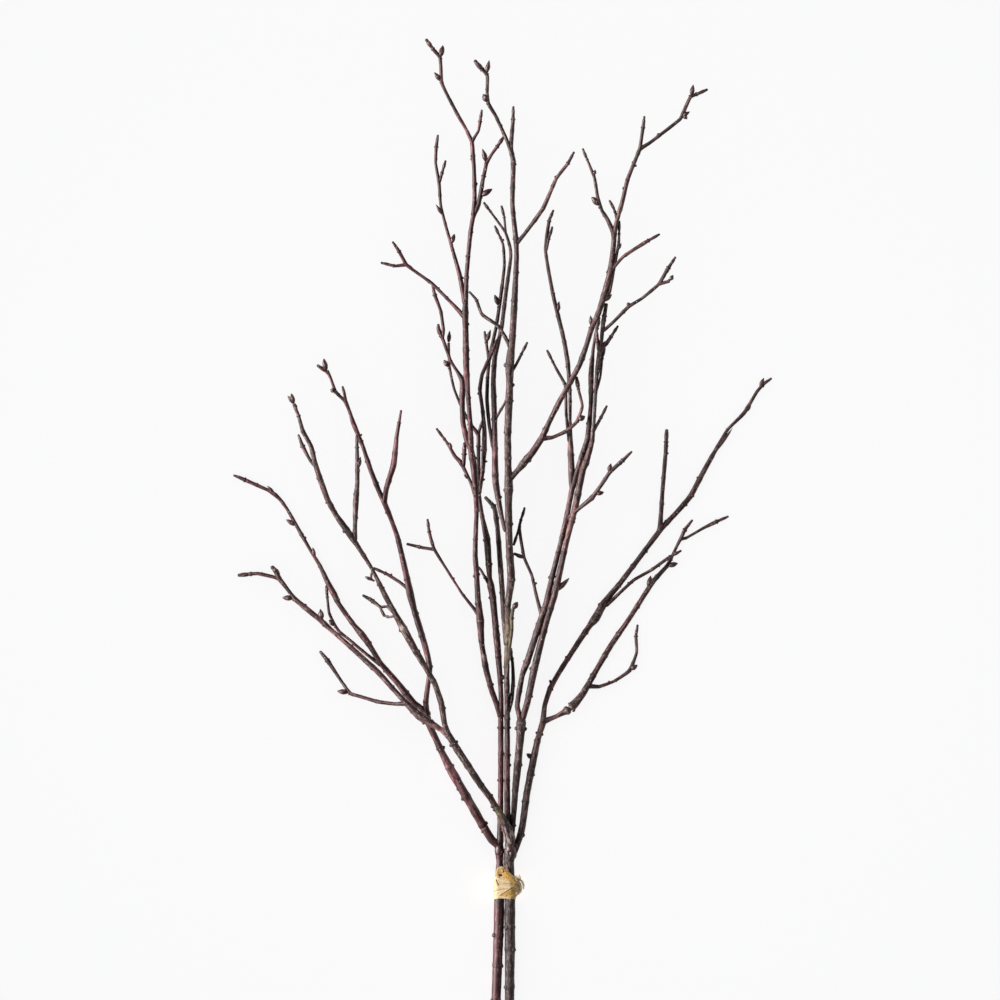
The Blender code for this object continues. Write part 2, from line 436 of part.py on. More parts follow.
def unite(body, pieces, cutters):
    """Grow the pieces together with the body into one closed solid."""
    group = bpy.data.collections.new(body.name + "_pieces")
    cutters.children.link(group)
    for piece in pieces:
        piece.hide_render = True
        piece.display_type = "WIRE"
        group.objects.link(piece)
    union = body.modifiers.new("grown together", "BOOLEAN")
    union.operation = "UNION"
    union.solver = "EXACT"
    union.operand_type = "COLLECTION"
    union.collection = group


def make_branch(name, stem, shoots, buds, material, parts, cutters):
    """One branch with all its shoots and buds."""
    paths = branch_paths(stem, shoots)
    body = make_tube(name, paths["stem"], SHOOT_SIDES_LEVEL)
    body.name = name
    pieces = []
    for shoot, _, _, _ in shoots:
        pieces.append(make_tube(name + "_" + shoot, paths[shoot], SHOOT_SIDES_LEVEL))
    for index, (shoot, base, tip, width) in enumerate(buds):
        pieces.append(make_bud(f"{name}_bud_{index}", paths[shoot], base, tip, width))
    body.data.materials.clear()
    body.data.materials.append(material)
    parts.objects.link(body)
    unite(body, pieces, cutters)
    return paths


# The strands of the tie beside its band, as (x, y, height, thickness).
TIE_LOOP = [
    (-5.6, -298, 12.6, 2.4), (-5.2, -291, 13.2, 2.4), (-1.2, -285.6, 13.6, 2.2), (2.8, -291, 14, 2.4),
    (3, -298, 13.8, 2.4)]
TIE_STRAND = [
    (-7, -298.5, 12, 2), (0, -297, 13.2, 2.2), (6, -297.6, 14, 2.2), (11, -298.4, 12.6, 2.4),
    (14.4, -298.8, 9, 2.8)]
TIE_TAILS = [
    [(14.6, -299, 8.6, 2.8), (16.4, -304, 6.8, 2.4), (17.6, -309.6, 3.4, 1.6)],
    [(14.8, -299.4, 8.2, 2.4), (18, -303, 7.2, 2), (20, -307.4, 5.2, 1.4)],
    [(14.6, -298.6, 9, 2.4), (15.2, -294.6, 10.6, 1.8), (16.2, -291.6, 11.2, 1.2)],
]
TIE_KNOT = [(14.8, -301.4, 8.4, 4), (14.6, -298.8, 8.8, 6), (14.6, -296.4, 9.2, 4)]


def band_outline(rounds, offset):
    """The line that a strip follows when it is drawn round the stems, seen along them."""
    outline = []
    for index in range(TIE_OUTLINE_POINTS):
        angle = 2 * math.pi * index / TIE_OUTLINE_POINTS
        direction = Vector((math.cos(angle), math.sin(angle)))
        centre, radius = max(rounds, key=lambda stem: stem[0].dot(direction) + stem[1])
        outline.append(centre + direction * (radius + offset))
    return outline


def make_band(name, stem_paths):
    """The flat band of the tie: a closed strip with a hole that both stems pass through."""
    rounds = []
    for path in stem_paths:
        point = nearest_point(path, path[0].x, TIE_CENTRE_Y)
        rounds.append((Vector((point.x, point.z)), point.w / 2))
    curve = bpy.data.curves.new(name, "CURVE")
    curve.dimensions = "2D"
    curve.fill_mode = "BOTH"
    curve.extrude = TIE_WIDTH * MM / 2
    for offset in (TIE_GAP, TIE_GAP + TIE_THICKNESS):
        outline = band_outline(rounds, offset)
        spline = curve.splines.new("POLY")
        spline.points.add(len(outline) - 1)
        spline.use_cyclic_u = True
        for spline_point, point in zip(spline.points, outline):
            spline_point.co = (point.x * MM, point.y * MM, 0.0, 1.0)
    curve_object = bpy.data.objects.new(name, curve)
    curve_object.location = (0.0, TIE_CENTRE_Y * MM, 0.0)
    curve_object.rotation_euler = (math.pi / 2, 0.0, 0.0)
    bpy.context.scene.collection.objects.link(curve_object)
    bpy.context.view_layer.update()
    return mesh_from_curve(curve_object)


def make_tie(name, stem_paths, material, parts, cutters):
    """The raffia: a band round both stems with a small loop, a knot and its tails."""
    body = make_band(name, stem_paths)
    body.name = name
    strands = [TIE_LOOP, TIE_STRAND, TIE_KNOT] + TIE_TAILS
    pieces = []
    for index, strand in enumerate(strands):
        path = smooth_path(strand, STRAND_RINGS_PER_POINT * len(strand))
        pieces.append(make_tube(f"{name}_strand_{index}", path, STRAND_SIDES_LEVEL))
    body.data.materials.clear()
    body.data.materials.append(material)
    parts.objects.link(body)
    unite(body, pieces, cutters)


def main():
    for old in list(bpy.data.objects):
        bpy.data.objects.remove(old)
    parts = make_collection("willow_twig")
    cutters = make_collection("willow_twig_cutters")
    maroon = make_material("maroon_bark", MAROON_BARK, 0.45)
    grey = make_material("grey_bark", GREY_BARK, 0.75)
    straw = make_material("raffia_straw", RAFFIA_STRAW, 0.6)
    left = make_branch("maroon_branch", LEFT_STEM, LEFT_SHOOTS, LEFT_BUDS, maroon, parts, cutters)
    right = make_branch("grey_branch", RIGHT_STEM, RIGHT_SHOOTS, RIGHT_BUDS, grey, parts, cutters)
    make_tie("raffia_tie", [left["stem"], right["stem"]], straw, parts, cutters)


if __name__ == "__main__":
    main()
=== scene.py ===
# Two cut, budded willow branches with a raffia tie, laid on a pale floor.
import json
import math
import random

import bmesh
import bpy
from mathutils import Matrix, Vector, noise

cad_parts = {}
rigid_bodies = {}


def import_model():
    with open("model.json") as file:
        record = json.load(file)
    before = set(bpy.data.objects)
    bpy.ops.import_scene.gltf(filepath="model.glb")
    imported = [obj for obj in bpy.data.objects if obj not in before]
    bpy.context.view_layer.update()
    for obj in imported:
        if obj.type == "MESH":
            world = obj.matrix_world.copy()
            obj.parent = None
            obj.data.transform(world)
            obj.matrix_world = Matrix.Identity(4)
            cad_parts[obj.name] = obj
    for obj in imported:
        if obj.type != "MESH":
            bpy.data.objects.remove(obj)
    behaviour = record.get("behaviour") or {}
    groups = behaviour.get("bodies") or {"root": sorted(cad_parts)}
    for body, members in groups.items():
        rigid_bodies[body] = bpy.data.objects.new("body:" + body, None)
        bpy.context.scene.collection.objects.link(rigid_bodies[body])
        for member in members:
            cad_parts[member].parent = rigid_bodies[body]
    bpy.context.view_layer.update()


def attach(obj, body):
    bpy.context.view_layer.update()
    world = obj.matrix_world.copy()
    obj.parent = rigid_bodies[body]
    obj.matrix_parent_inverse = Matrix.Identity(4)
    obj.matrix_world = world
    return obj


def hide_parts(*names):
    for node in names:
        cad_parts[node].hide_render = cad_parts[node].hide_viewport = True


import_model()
mm = 0.001  # every table and size below is in millimetres
up = Vector((0.0, 0.0, 1.0))

# camera, light and floor
view = {
    "aimX": -2.7, "aimY": 45.0, "aimHeight": 30.0,  # middle of the view
    "width": 900.0, "lens": 1200.0, "sensor": 36.0,
}
studio = {
    "floorSize": 12000.0, "floorColour": (0.93, 0.93, 0.935, 1.0),
    "floorRoughness": 0.9, "floorGloss": 0.1,
    "keyPlace": (-4000.0, 300.0, 1900.0), "keySize": 2600.0, "keyPower": 640.0,
    "fillPlace": (3600.0, 600.0, 800.0), "fillSize": 1000.0, "fillPower": 32.0,
    "floorLampHeight": 6000.0, "floorLampSize": 5000.0, "floorLampPower": 366.0,
    "skyColour": (1.0, 1.0, 1.0), "skyStrength": 0.16,
}


def makeCamera():
    camera = bpy.data.objects.new("camera", bpy.data.cameras.new("camera"))
    bpy.context.scene.collection.objects.link(camera)
    camera.data.lens = view["lens"]
    camera.data.sensor_width = view["sensor"]
    camera.data.clip_end = 100.0
    distance = view["width"] * view["lens"] / view["sensor"]
    height = view["aimHeight"] + distance
    camera.location = Vector((view["aimX"], view["aimY"], height)) * mm
    bpy.context.scene.camera = camera


def makeSoftbox(name, place, size, power):
    lamp = bpy.data.lights.new(name, "AREA")
    lamp.shape = "DISK"
    lamp.size = size * mm
    lamp.energy = power
    box = bpy.data.objects.new(name, lamp)
    bpy.context.scene.collection.objects.link(box)
    box.location = Vector(place) * mm
    box.rotation_euler = box.location.to_track_quat("Z", "Y").to_euler()
    return box


def keepLight(box, floor, state):
    # the lamp lights the floor alone, or everything but the floor
    group = bpy.data.collections.new(box.name + "Reach")
    group.objects.link(floor)
    box.light_linking.receiver_collection = group
    group.collection_objects[0].light_linking.link_state = state
    if state == "INCLUDE":
        box.light_linking.blocker_collection = group  # and throws no hard shadows on it


def makeStudio():
    world = bpy.data.worlds.new("studioSky")
    bpy.context.scene.world = world
    world.use_nodes = True
    sky = world.node_tree.nodes["Background"]
    sky.inputs["Color"].default_value = (*studio["skyColour"], 1.0)
    sky.inputs["Strength"].default_value = studio["skyStrength"]
    key = makeSoftbox("keySoftbox", studio["keyPlace"], studio["keySize"], studio["keyPower"])
    fill = makeSoftbox("fillSoftbox", studio["fillPlace"], studio["fillSize"], studio["fillPower"])
    top = (view["aimX"], view["aimY"], studio["floorLampHeight"])
    floorLamp = makeSoftbox("floorSoftbox", top, studio["floorLampSize"], studio["floorLampPower"])
    bpy.context.scene.view_settings.view_transform = "Standard"
    sheet = bmesh.new()
    bmesh.ops.create_grid(sheet, x_segments=4, y_segments=4, size=studio["floorSize"] * mm / 2)
    mesh = bpy.data.meshes.new("floor")
    sheet.to_mesh(mesh)
    sheet.free()
    floor = bpy.data.objects.new("floor", mesh)
    bpy.context.scene.collection.objects.link(floor)
    paper = bpy.data.materials.new("paleFloor")
    paper.use_nodes = True
    shader = paper.node_tree.nodes["Principled BSDF"]
    shader.inputs["Base Color"].default_value = studio["floorColour"]
    shader.inputs["Roughness"].default_value = studio["floorRoughness"]
    shader.inputs["Specular IOR Level"].default_value = studio["floorGloss"]
    mesh.materials.append(paper)
    keepLight(key, floor, "EXCLUDE")
    keepLight(fill, floor, "EXCLUDE")
    keepLight(floorLamp, floor, "INCLUDE")


# the two branches
# stem: x, y, height, thickness
# shoots: name, parent, height of the tip, tone (0 smooth and red to 1 rough and grey), and their points
# as x, y, thickness
# buds: shoot, base, tip, width
# scars: shoot, x, y
# nubs: shoot, x, y, half width, kind (0 leaf scar, 1 knob, 2 stub)
# pale, olive, dusky and rosy: shoot, x, y, reach of the patch
maroonBranch = {
    "name": "maroon", "node": "maroon_branch", "slot": "bark_red", "seed": 11, "stemTone": 0.05,
    "bark": {
        "deep": "1a080a", "skin": "471519", "bloom": "a0767a", "bloomShare": 0.65,
        "furrow": "0e0506", "ridge": "422728", "ash": "a38a85", "ashShare": 0.8,
        "fleck": "a88a80", "fleckShare": 0.5, "scar": "a88d85", "pale": "a98e8a", "olive": "6e6440",
        "rosy": "8c5a5d", "wood": "c9a878", "ring": "8f6c43", "roughness": 0.42, "bump": 0.55},
    "budSkin": {"dark": "1a080a", "light": "44181c", "down": "8f746c", "downShare": 0.16,
                "roughness": 0.36},
    "nubSkin": {"dark": "140808", "light": "3d2422", "down": "87706a", "downShare": 0.35,
                "roughness": 0.55},
    "lensSkin": {"dark": "7d6862", "light": "a08c84", "down": "b3a298", "downShare": 0.5, "roughness": 0.7},
    "blind": ["l2", "limbB", "bSpur", "aLeftSpur", "l1Right"],  # these shoots end without a bud
    "stem": [
        (-8.5, -459, 4.7, 9.2), (-6.2, -405, 5.4, 8.5), (-5.1, -377, 5.8, 8.7), (-4.4, -356, 6.1, 9),
        (-3.75, -338, 6.3, 9.2), (-3.4, -316, 6.6, 9.3), (-3, -290, 6.6, 7.4), (-3, -281, 6.9, 6.2),
        (-3.3, -270, 7.1, 7.8), (-3.3, -262, 7.2, 6.4)],
    "shoots": [
        ("l1", "stem", 26, 0.15, [
            (-3.4, -267, 6), (-10, -261, 7.2), (-17, -250, 7.5), (-25, -236, 8), (-40, -210, 8),
            (-48, -196, 8), (-55, -182, 6), (-61, -169, 6), (-66.5, -157, 6), (-69.5, -138, 5),
            (-68, -125, 4.5), (-66.3, -113, 4.6), (-66, -104, 4.8), (-70.5, -85, 5.5), (-76, -67, 5.8),
            (-80, -53.5, 5.5), (-83.2, -41, 7), (-85.8, -28, 5.6), (-89.8, -10.5, 5.2), (-94.8, 11, 4.7),
            (-100.8, 28, 4.2), (-107, 43, 5), (-112, 54, 4.6), (-119.5, 73, 4.5), (-126, 93, 3.6),
            (-135, 115, 4.3), (-137.5, 123, 3), (-142, 134, 3.9), (-147, 138.5, 3), (-151, 143, 3.2),
            (-154.5, 153, 2.6), (-157.5, 159.5, 3), (-167.5, 166.5, 2.6)]),
        ("l1Twiglet", "l1", 30, 0.15, [(-141.5, 134, 2.5), (-142.8, 141, 2.6), (-144.5, 147.5, 1.8)]),
        ("l1Right", "l1", 34, 0.15, [
            (-107, 43, 4.5), (-105, 55, 4.8), (-102, 65, 5), (-98.6, 76, 5.6), (-96.6, 92, 4.6),
            (-95.7, 102, 3.8), (-93.6, 114, 3), (-91.6, 126, 1.8)]),
        ("l1Side", "l1", 18, 0.15, [
            (-84, -36, 3.5), (-93, -29, 3), (-104, -22, 3), (-117, -16, 2.2)]),
        ("l3", "l1", 1.8, 0.3, [
            (-68, -147, 5), (-73, -143, 5), (-80, -137.5, 5), (-86, -131, 6), (-93, -122, 5.5),
            (-106, -107, 5), (-111, -101, 5), (-117, -91, 4.5), (-122, -83, 5.5), (-128, -75, 6),
            (-134, -68, 4.5), (-148, -48.5, 4.5), (-152, -40, 5.5), (-157, -31, 5), (-165, -14, 3.5),
            (-173, -1, 3), (-181, 13, 3.5), (-194, 36, 3), (-200, 44.5, 3.2), (-205, 49.5, 4),
            (-212, 54, 3), (-230, 62, 3.6), (-238, 65.5, 3), (-243, 67.3, 0.8)]),
        ("l3Twig", "l3", 4, 0.15, [
            (-111, -103, 3.5), (-124, -93, 3), (-140, -79.5, 2.8), (-147, -74, 2.8), (-151, -68.5, 3),
            (-156.5, -57, 2.6), (-158.5, -40, 2.4), (-159.3, -32, 2.2)]),
        ("l2", "stem", 12, 0.15, [
            (-2.6, -264, 6), (-2.4, -250, 5.7), (-2.1, -225, 5.1), (-1.9, -205, 5.1), (-1.9, -165, 5.1),
            (-2, -148, 4.9)]),
        ("limbA", "l2", 58, 0.3, [
            (-2.2, -150, 5), (-6, -138, 5), (-10, -127, 5), (-15.3, -107, 5.6), (-19.3, -83, 5),
            (-20.5, -63, 7), (-22.5, -44, 5.2), (-24, -18, 5), (-25, -5, 4.8), (-24.8, 8, 4.4),
            (-23.8, 35, 4.1), (-25, 58, 5.2), (-27, 80, 6.4), (-28.8, 90, 5.6), (-29.5, 113, 4.5),
            (-31.3, 138, 4.2), (-33, 164, 5.5), (-33.6, 200, 5.4), (-34, 213, 6), (-33.5, 226, 4.6),
            (-32.5, 250, 4), (-29.5, 283, 4), (-27, 299, 4.2), (-22, 311, 4.3), (-18, 333, 3.6),
            (-14.8, 348, 3.6)]),
        ("mRight", "limbA", 60, 0.15, [(-14.8, 348, 3), (-10, 356, 2.8), (-5, 363, 3.2), (1, 372, 2.6)]),
        ("t1", "limbA", 62, 0.1, [
            (-26.5, 301, 4), (-25.5, 318, 4), (-26, 343, 3.6), (-27, 355, 4), (-28, 367, 3.8),
            (-33, 378, 3), (-40, 390, 3.4), (-50, 409, 3), (-55, 420, 3.2), (-56.6, 442.5, 3.2),
            (-63, 450.5, 3.2), (-69.5, 459.5, 2.8)]),
        ("t1Right", "t1", 64, 0.15, [
            (-28, 367, 3), (-25, 372, 2.6), (-22, 377, 2.6), (-20.5, 386, 3), (-19, 396, 1.6)]),
        ("aLeft", "limbA", 24, 0.15, [
            (-22, -58, 4), (-26, -53, 3.2), (-37, -39, 2.4), (-50, -18.5, 2.4), (-62, 1, 3),
            (-66.3, 16, 3), (-68, 28, 1.4)]),
        ("aLeftSpur", "aLeft", 20, 0.15, [(-62, 0.5, 2.6), (-72, 2, 3), (-87, 5.5, 2.6)]),
        ("aLowTwig", "limbA", 34, 0.15, [
            (-24.5, 49, 4.4), (-27, 56, 3.6), (-31, 65, 3), (-38.5, 79.5, 4), (-43, 84, 3.6),
            (-50, 96, 2.7), (-60, 109.5, 2)]),
        ("aLowSpur", "aLowTwig", 38, 0.15, [(-35.5, 76, 3.2), (-34.8, 89.5, 4), (-34.5, 97, 3)]),
        ("mLeft", "limbA", 44, 0.15, [
            (-29, 92, 5), (-32.5, 99, 5), (-36, 115, 4.6), (-36.7, 135, 5), (-36.3, 152, 5.4),
            (-42, 162, 3), (-47, 170, 2.8), (-53.5, 188, 3.2), (-58, 199, 3.8), (-58.2, 203.5, 2)]),
        ("mLeftUp", "mLeft", 46, 0.15, [
            (-54.5, 190, 2.6), (-53.6, 198, 3), (-56, 215, 3), (-61.5, 230, 3.4), (-63.7, 240, 2)]),
        ("mSide", "limbA", 44, 0.15, [
            (-35, 210, 4.4), (-40, 215.5, 3.8), (-52, 228, 3), (-64, 239.8, 3.2), (-81, 252, 2.8),
            (-87, 256.5, 3.4), (-97, 255.5, 2.8), (-110, 258.5, 2)]),
        ("mSideSpur", "mSide", 48, 0.15, [(-87, 256.5, 3), (-94, 269.5, 3.2), (-99.5, 277.5, 1.8)]),
        ("mFar", "limbA", 52, 0.15, [
            (-34.2, 222, 4.4), (-38.6, 246, 4.2), (-45, 269, 3.2), (-51, 290, 2.8), (-56, 310, 2.7),
            (-57.5, 330, 3.2), (-60.5, 348, 2.6), (-60, 362.5, 3.2), (-58.5, 373.5, 1.8)]),
        ("mFarSpur", "mFar", 54, 0.15, [(-57, 331, 2.4), (-55, 338.5, 2.8), (-51.5, 350.5, 1.6)]),
        ("limbB", "l2", 30, 0.35, [
            (-2, -150, 4.8), (-1.6, -135, 4.5), (-2.3, -120, 4.8), (-4.6, -90, 6), (-7, -65, 5.8),
            (-9.5, -40, 6), (-11, -32.5, 7), (-12, -25, 4.4), (-13, -10, 5.8), (-14.5, 10, 6.2),
            (-18.7, 30, 4), (-21.8, 50, 4), (-22, 75, 3.4), (-22, 104, 3.8)]),
        ("bSpur", "limbB", 22, 0.15, [(-13, -30, 3), (-20, -18, 2.4), (-22.5, -15, 2.4)]),
        ("bTwig", "limbB", 40, 0.15, [
            (-22, 104, 3.6), (-29.5, 114, 2.8), (-37, 128, 2.6), (-44, 145, 2.4), (-48.2, 165, 2.6),
            (-49, 186, 2.6)]),
        ("bTip", "limbB", 32, 0.15, [(-22, 105, 2.8), (-18.3, 117, 2.2)]),
        ("paleLimb", "limbB", 43, 0.35, [
            (-21, 52, 3.2), (-18.5, 70, 4), (-17, 90, 5), (-16.8, 109, 4.2), (-18.5, 127, 3.4),
            (-20.8, 144, 3.6), (-18.8, 157.5, 3.4), (-13, 171, 3.6), (-5.5, 188, 3.2), (-3.5, 192, 2)]),
        ("pinkCurl", "l1Side", 17, 0.1, [
            (-117, -18, 2), (-118.7, -23, 2.2), (-118.5, -26.5, 2.4), (-115.5, -28, 1.8)]),
    ],
    "buds": [("l1", (-158.5, 162), (-161.5, 172.5), 4), ("l1", (-151, 142.5), (-155.5, 144.5), 4),
             ("l3", (-187.5, 20.5), (-195.5, 27.5), 3.6), ("l3", (-169, -6), (-171.5, 2.5), 3),
             ("l3", (-205, 51.5), (-212.5, 58), 3), ("l3Twig", (-151, -69), (-157, -63), 4),
             ("limbA", (-18, 317), (-9.5, 325), 4.5), ("limbA", (-15.5, 350), (-18.5, 361), 4),
             ("t1", (-56, 421), (-62, 429.5), 4), ("t1", (-56, 442.5), (-53.8, 454), 4.2),
             ("aLowTwig", (-45, 90), (-48, 97), 3), ("mFar", (-56, 300), (-60.5, 311), 3),
             ("mFar", (-46, 274), (-43.5, 284.5), 3.5), ("bTwig", (-49, 187), (-48, 197.5), 3.5),
             ("bTwig", (-50, 163.5), (-53.5, 171), 4), ("aLowTwig", (-32, 62), (-35.5, 68), 2.4)],
    "scars": [("l1", -92.3, -4.5), ("l1", -163, 163.5), ("l1Right", -95.7, 102), ("l3", -128, -75),
              ("limbA", -17.5, -95), ("limbA", -20.5, -63), ("t1", -27, 355), ("aLeftSpur", -77, 3.5),
              ("l3", -230, 62), ("mSide", -101.5, 255.6), ("mFar", -60, 362.5), ("mFarSpur", -55, 338.5),
              ("t1", -63.5, 451), ("aLowSpur", -34.8, 89.5), ("l1", -18.5, -252), ("limbA", -35, 245)],
    "nubs": [("l1", -20, -254, 1.6, 0), ("l1", -41.5, -216, 1.5, 1), ("l1", -38.5, -205, 1.3, 0),
             ("l1", -53, -178, 1.8, 2), ("l1", -127, 103, 1.3, 2), ("l1Side", -99.5, -21, 1.2, 1),
             ("l3", -178, 11, 1.3, 1), ("l3", -88, -129, 1.5, 1), ("limbA", -28, -24, 1.5, 1),
             ("limbA", -30, 172, 1.4, 0), ("limbA", -30.5, 203, 1.4, 1), ("limbA", -35.5, 245, 1.3, 0),
             ("t1", -23.5, 329.5, 1.4, 1), ("t1", -29.5, 351.5, 1.2, 1), ("t1", -41, 393, 1.2, 0),
             ("aLeft", -43.5, -25, 1.0, 1), ("mSide", -56.5, 237.5, 1.1, 0), ("limbB", 0.2, -115, 2.2, 1),
             ("limbB", -2.2, -68, 1.3, 0), ("paleLimb", -14.8, 79, 1.3, 2),
             ("paleLimb", -15.2, 63, 1.4, 2), ("paleLimb", -23, 141, 1.3, 1)],
    "pale": [("limbA", -17.5, -95, 4), ("paleLimb", -18, 90, 40)],
    "olive": [],
    "dusky": [("stem", -3.3, -264, 8), ("l1", -10, -259, 8), ("l2", -2.5, -256, 9),
              ("limbA", -34, 213, 12), ("limbB", -14, 5, 14)],
    "rosy": [("l2", -2, -200, 40), ("l1", -46, -200, 14), ("pinkCurl", -118, -24, 12),
             ("l1Right", -97, 85, 14), ("limbA", -31, 150, 14), ("t1", -28, 367, 12),
             ("l3", -100, -112, 14)],
}
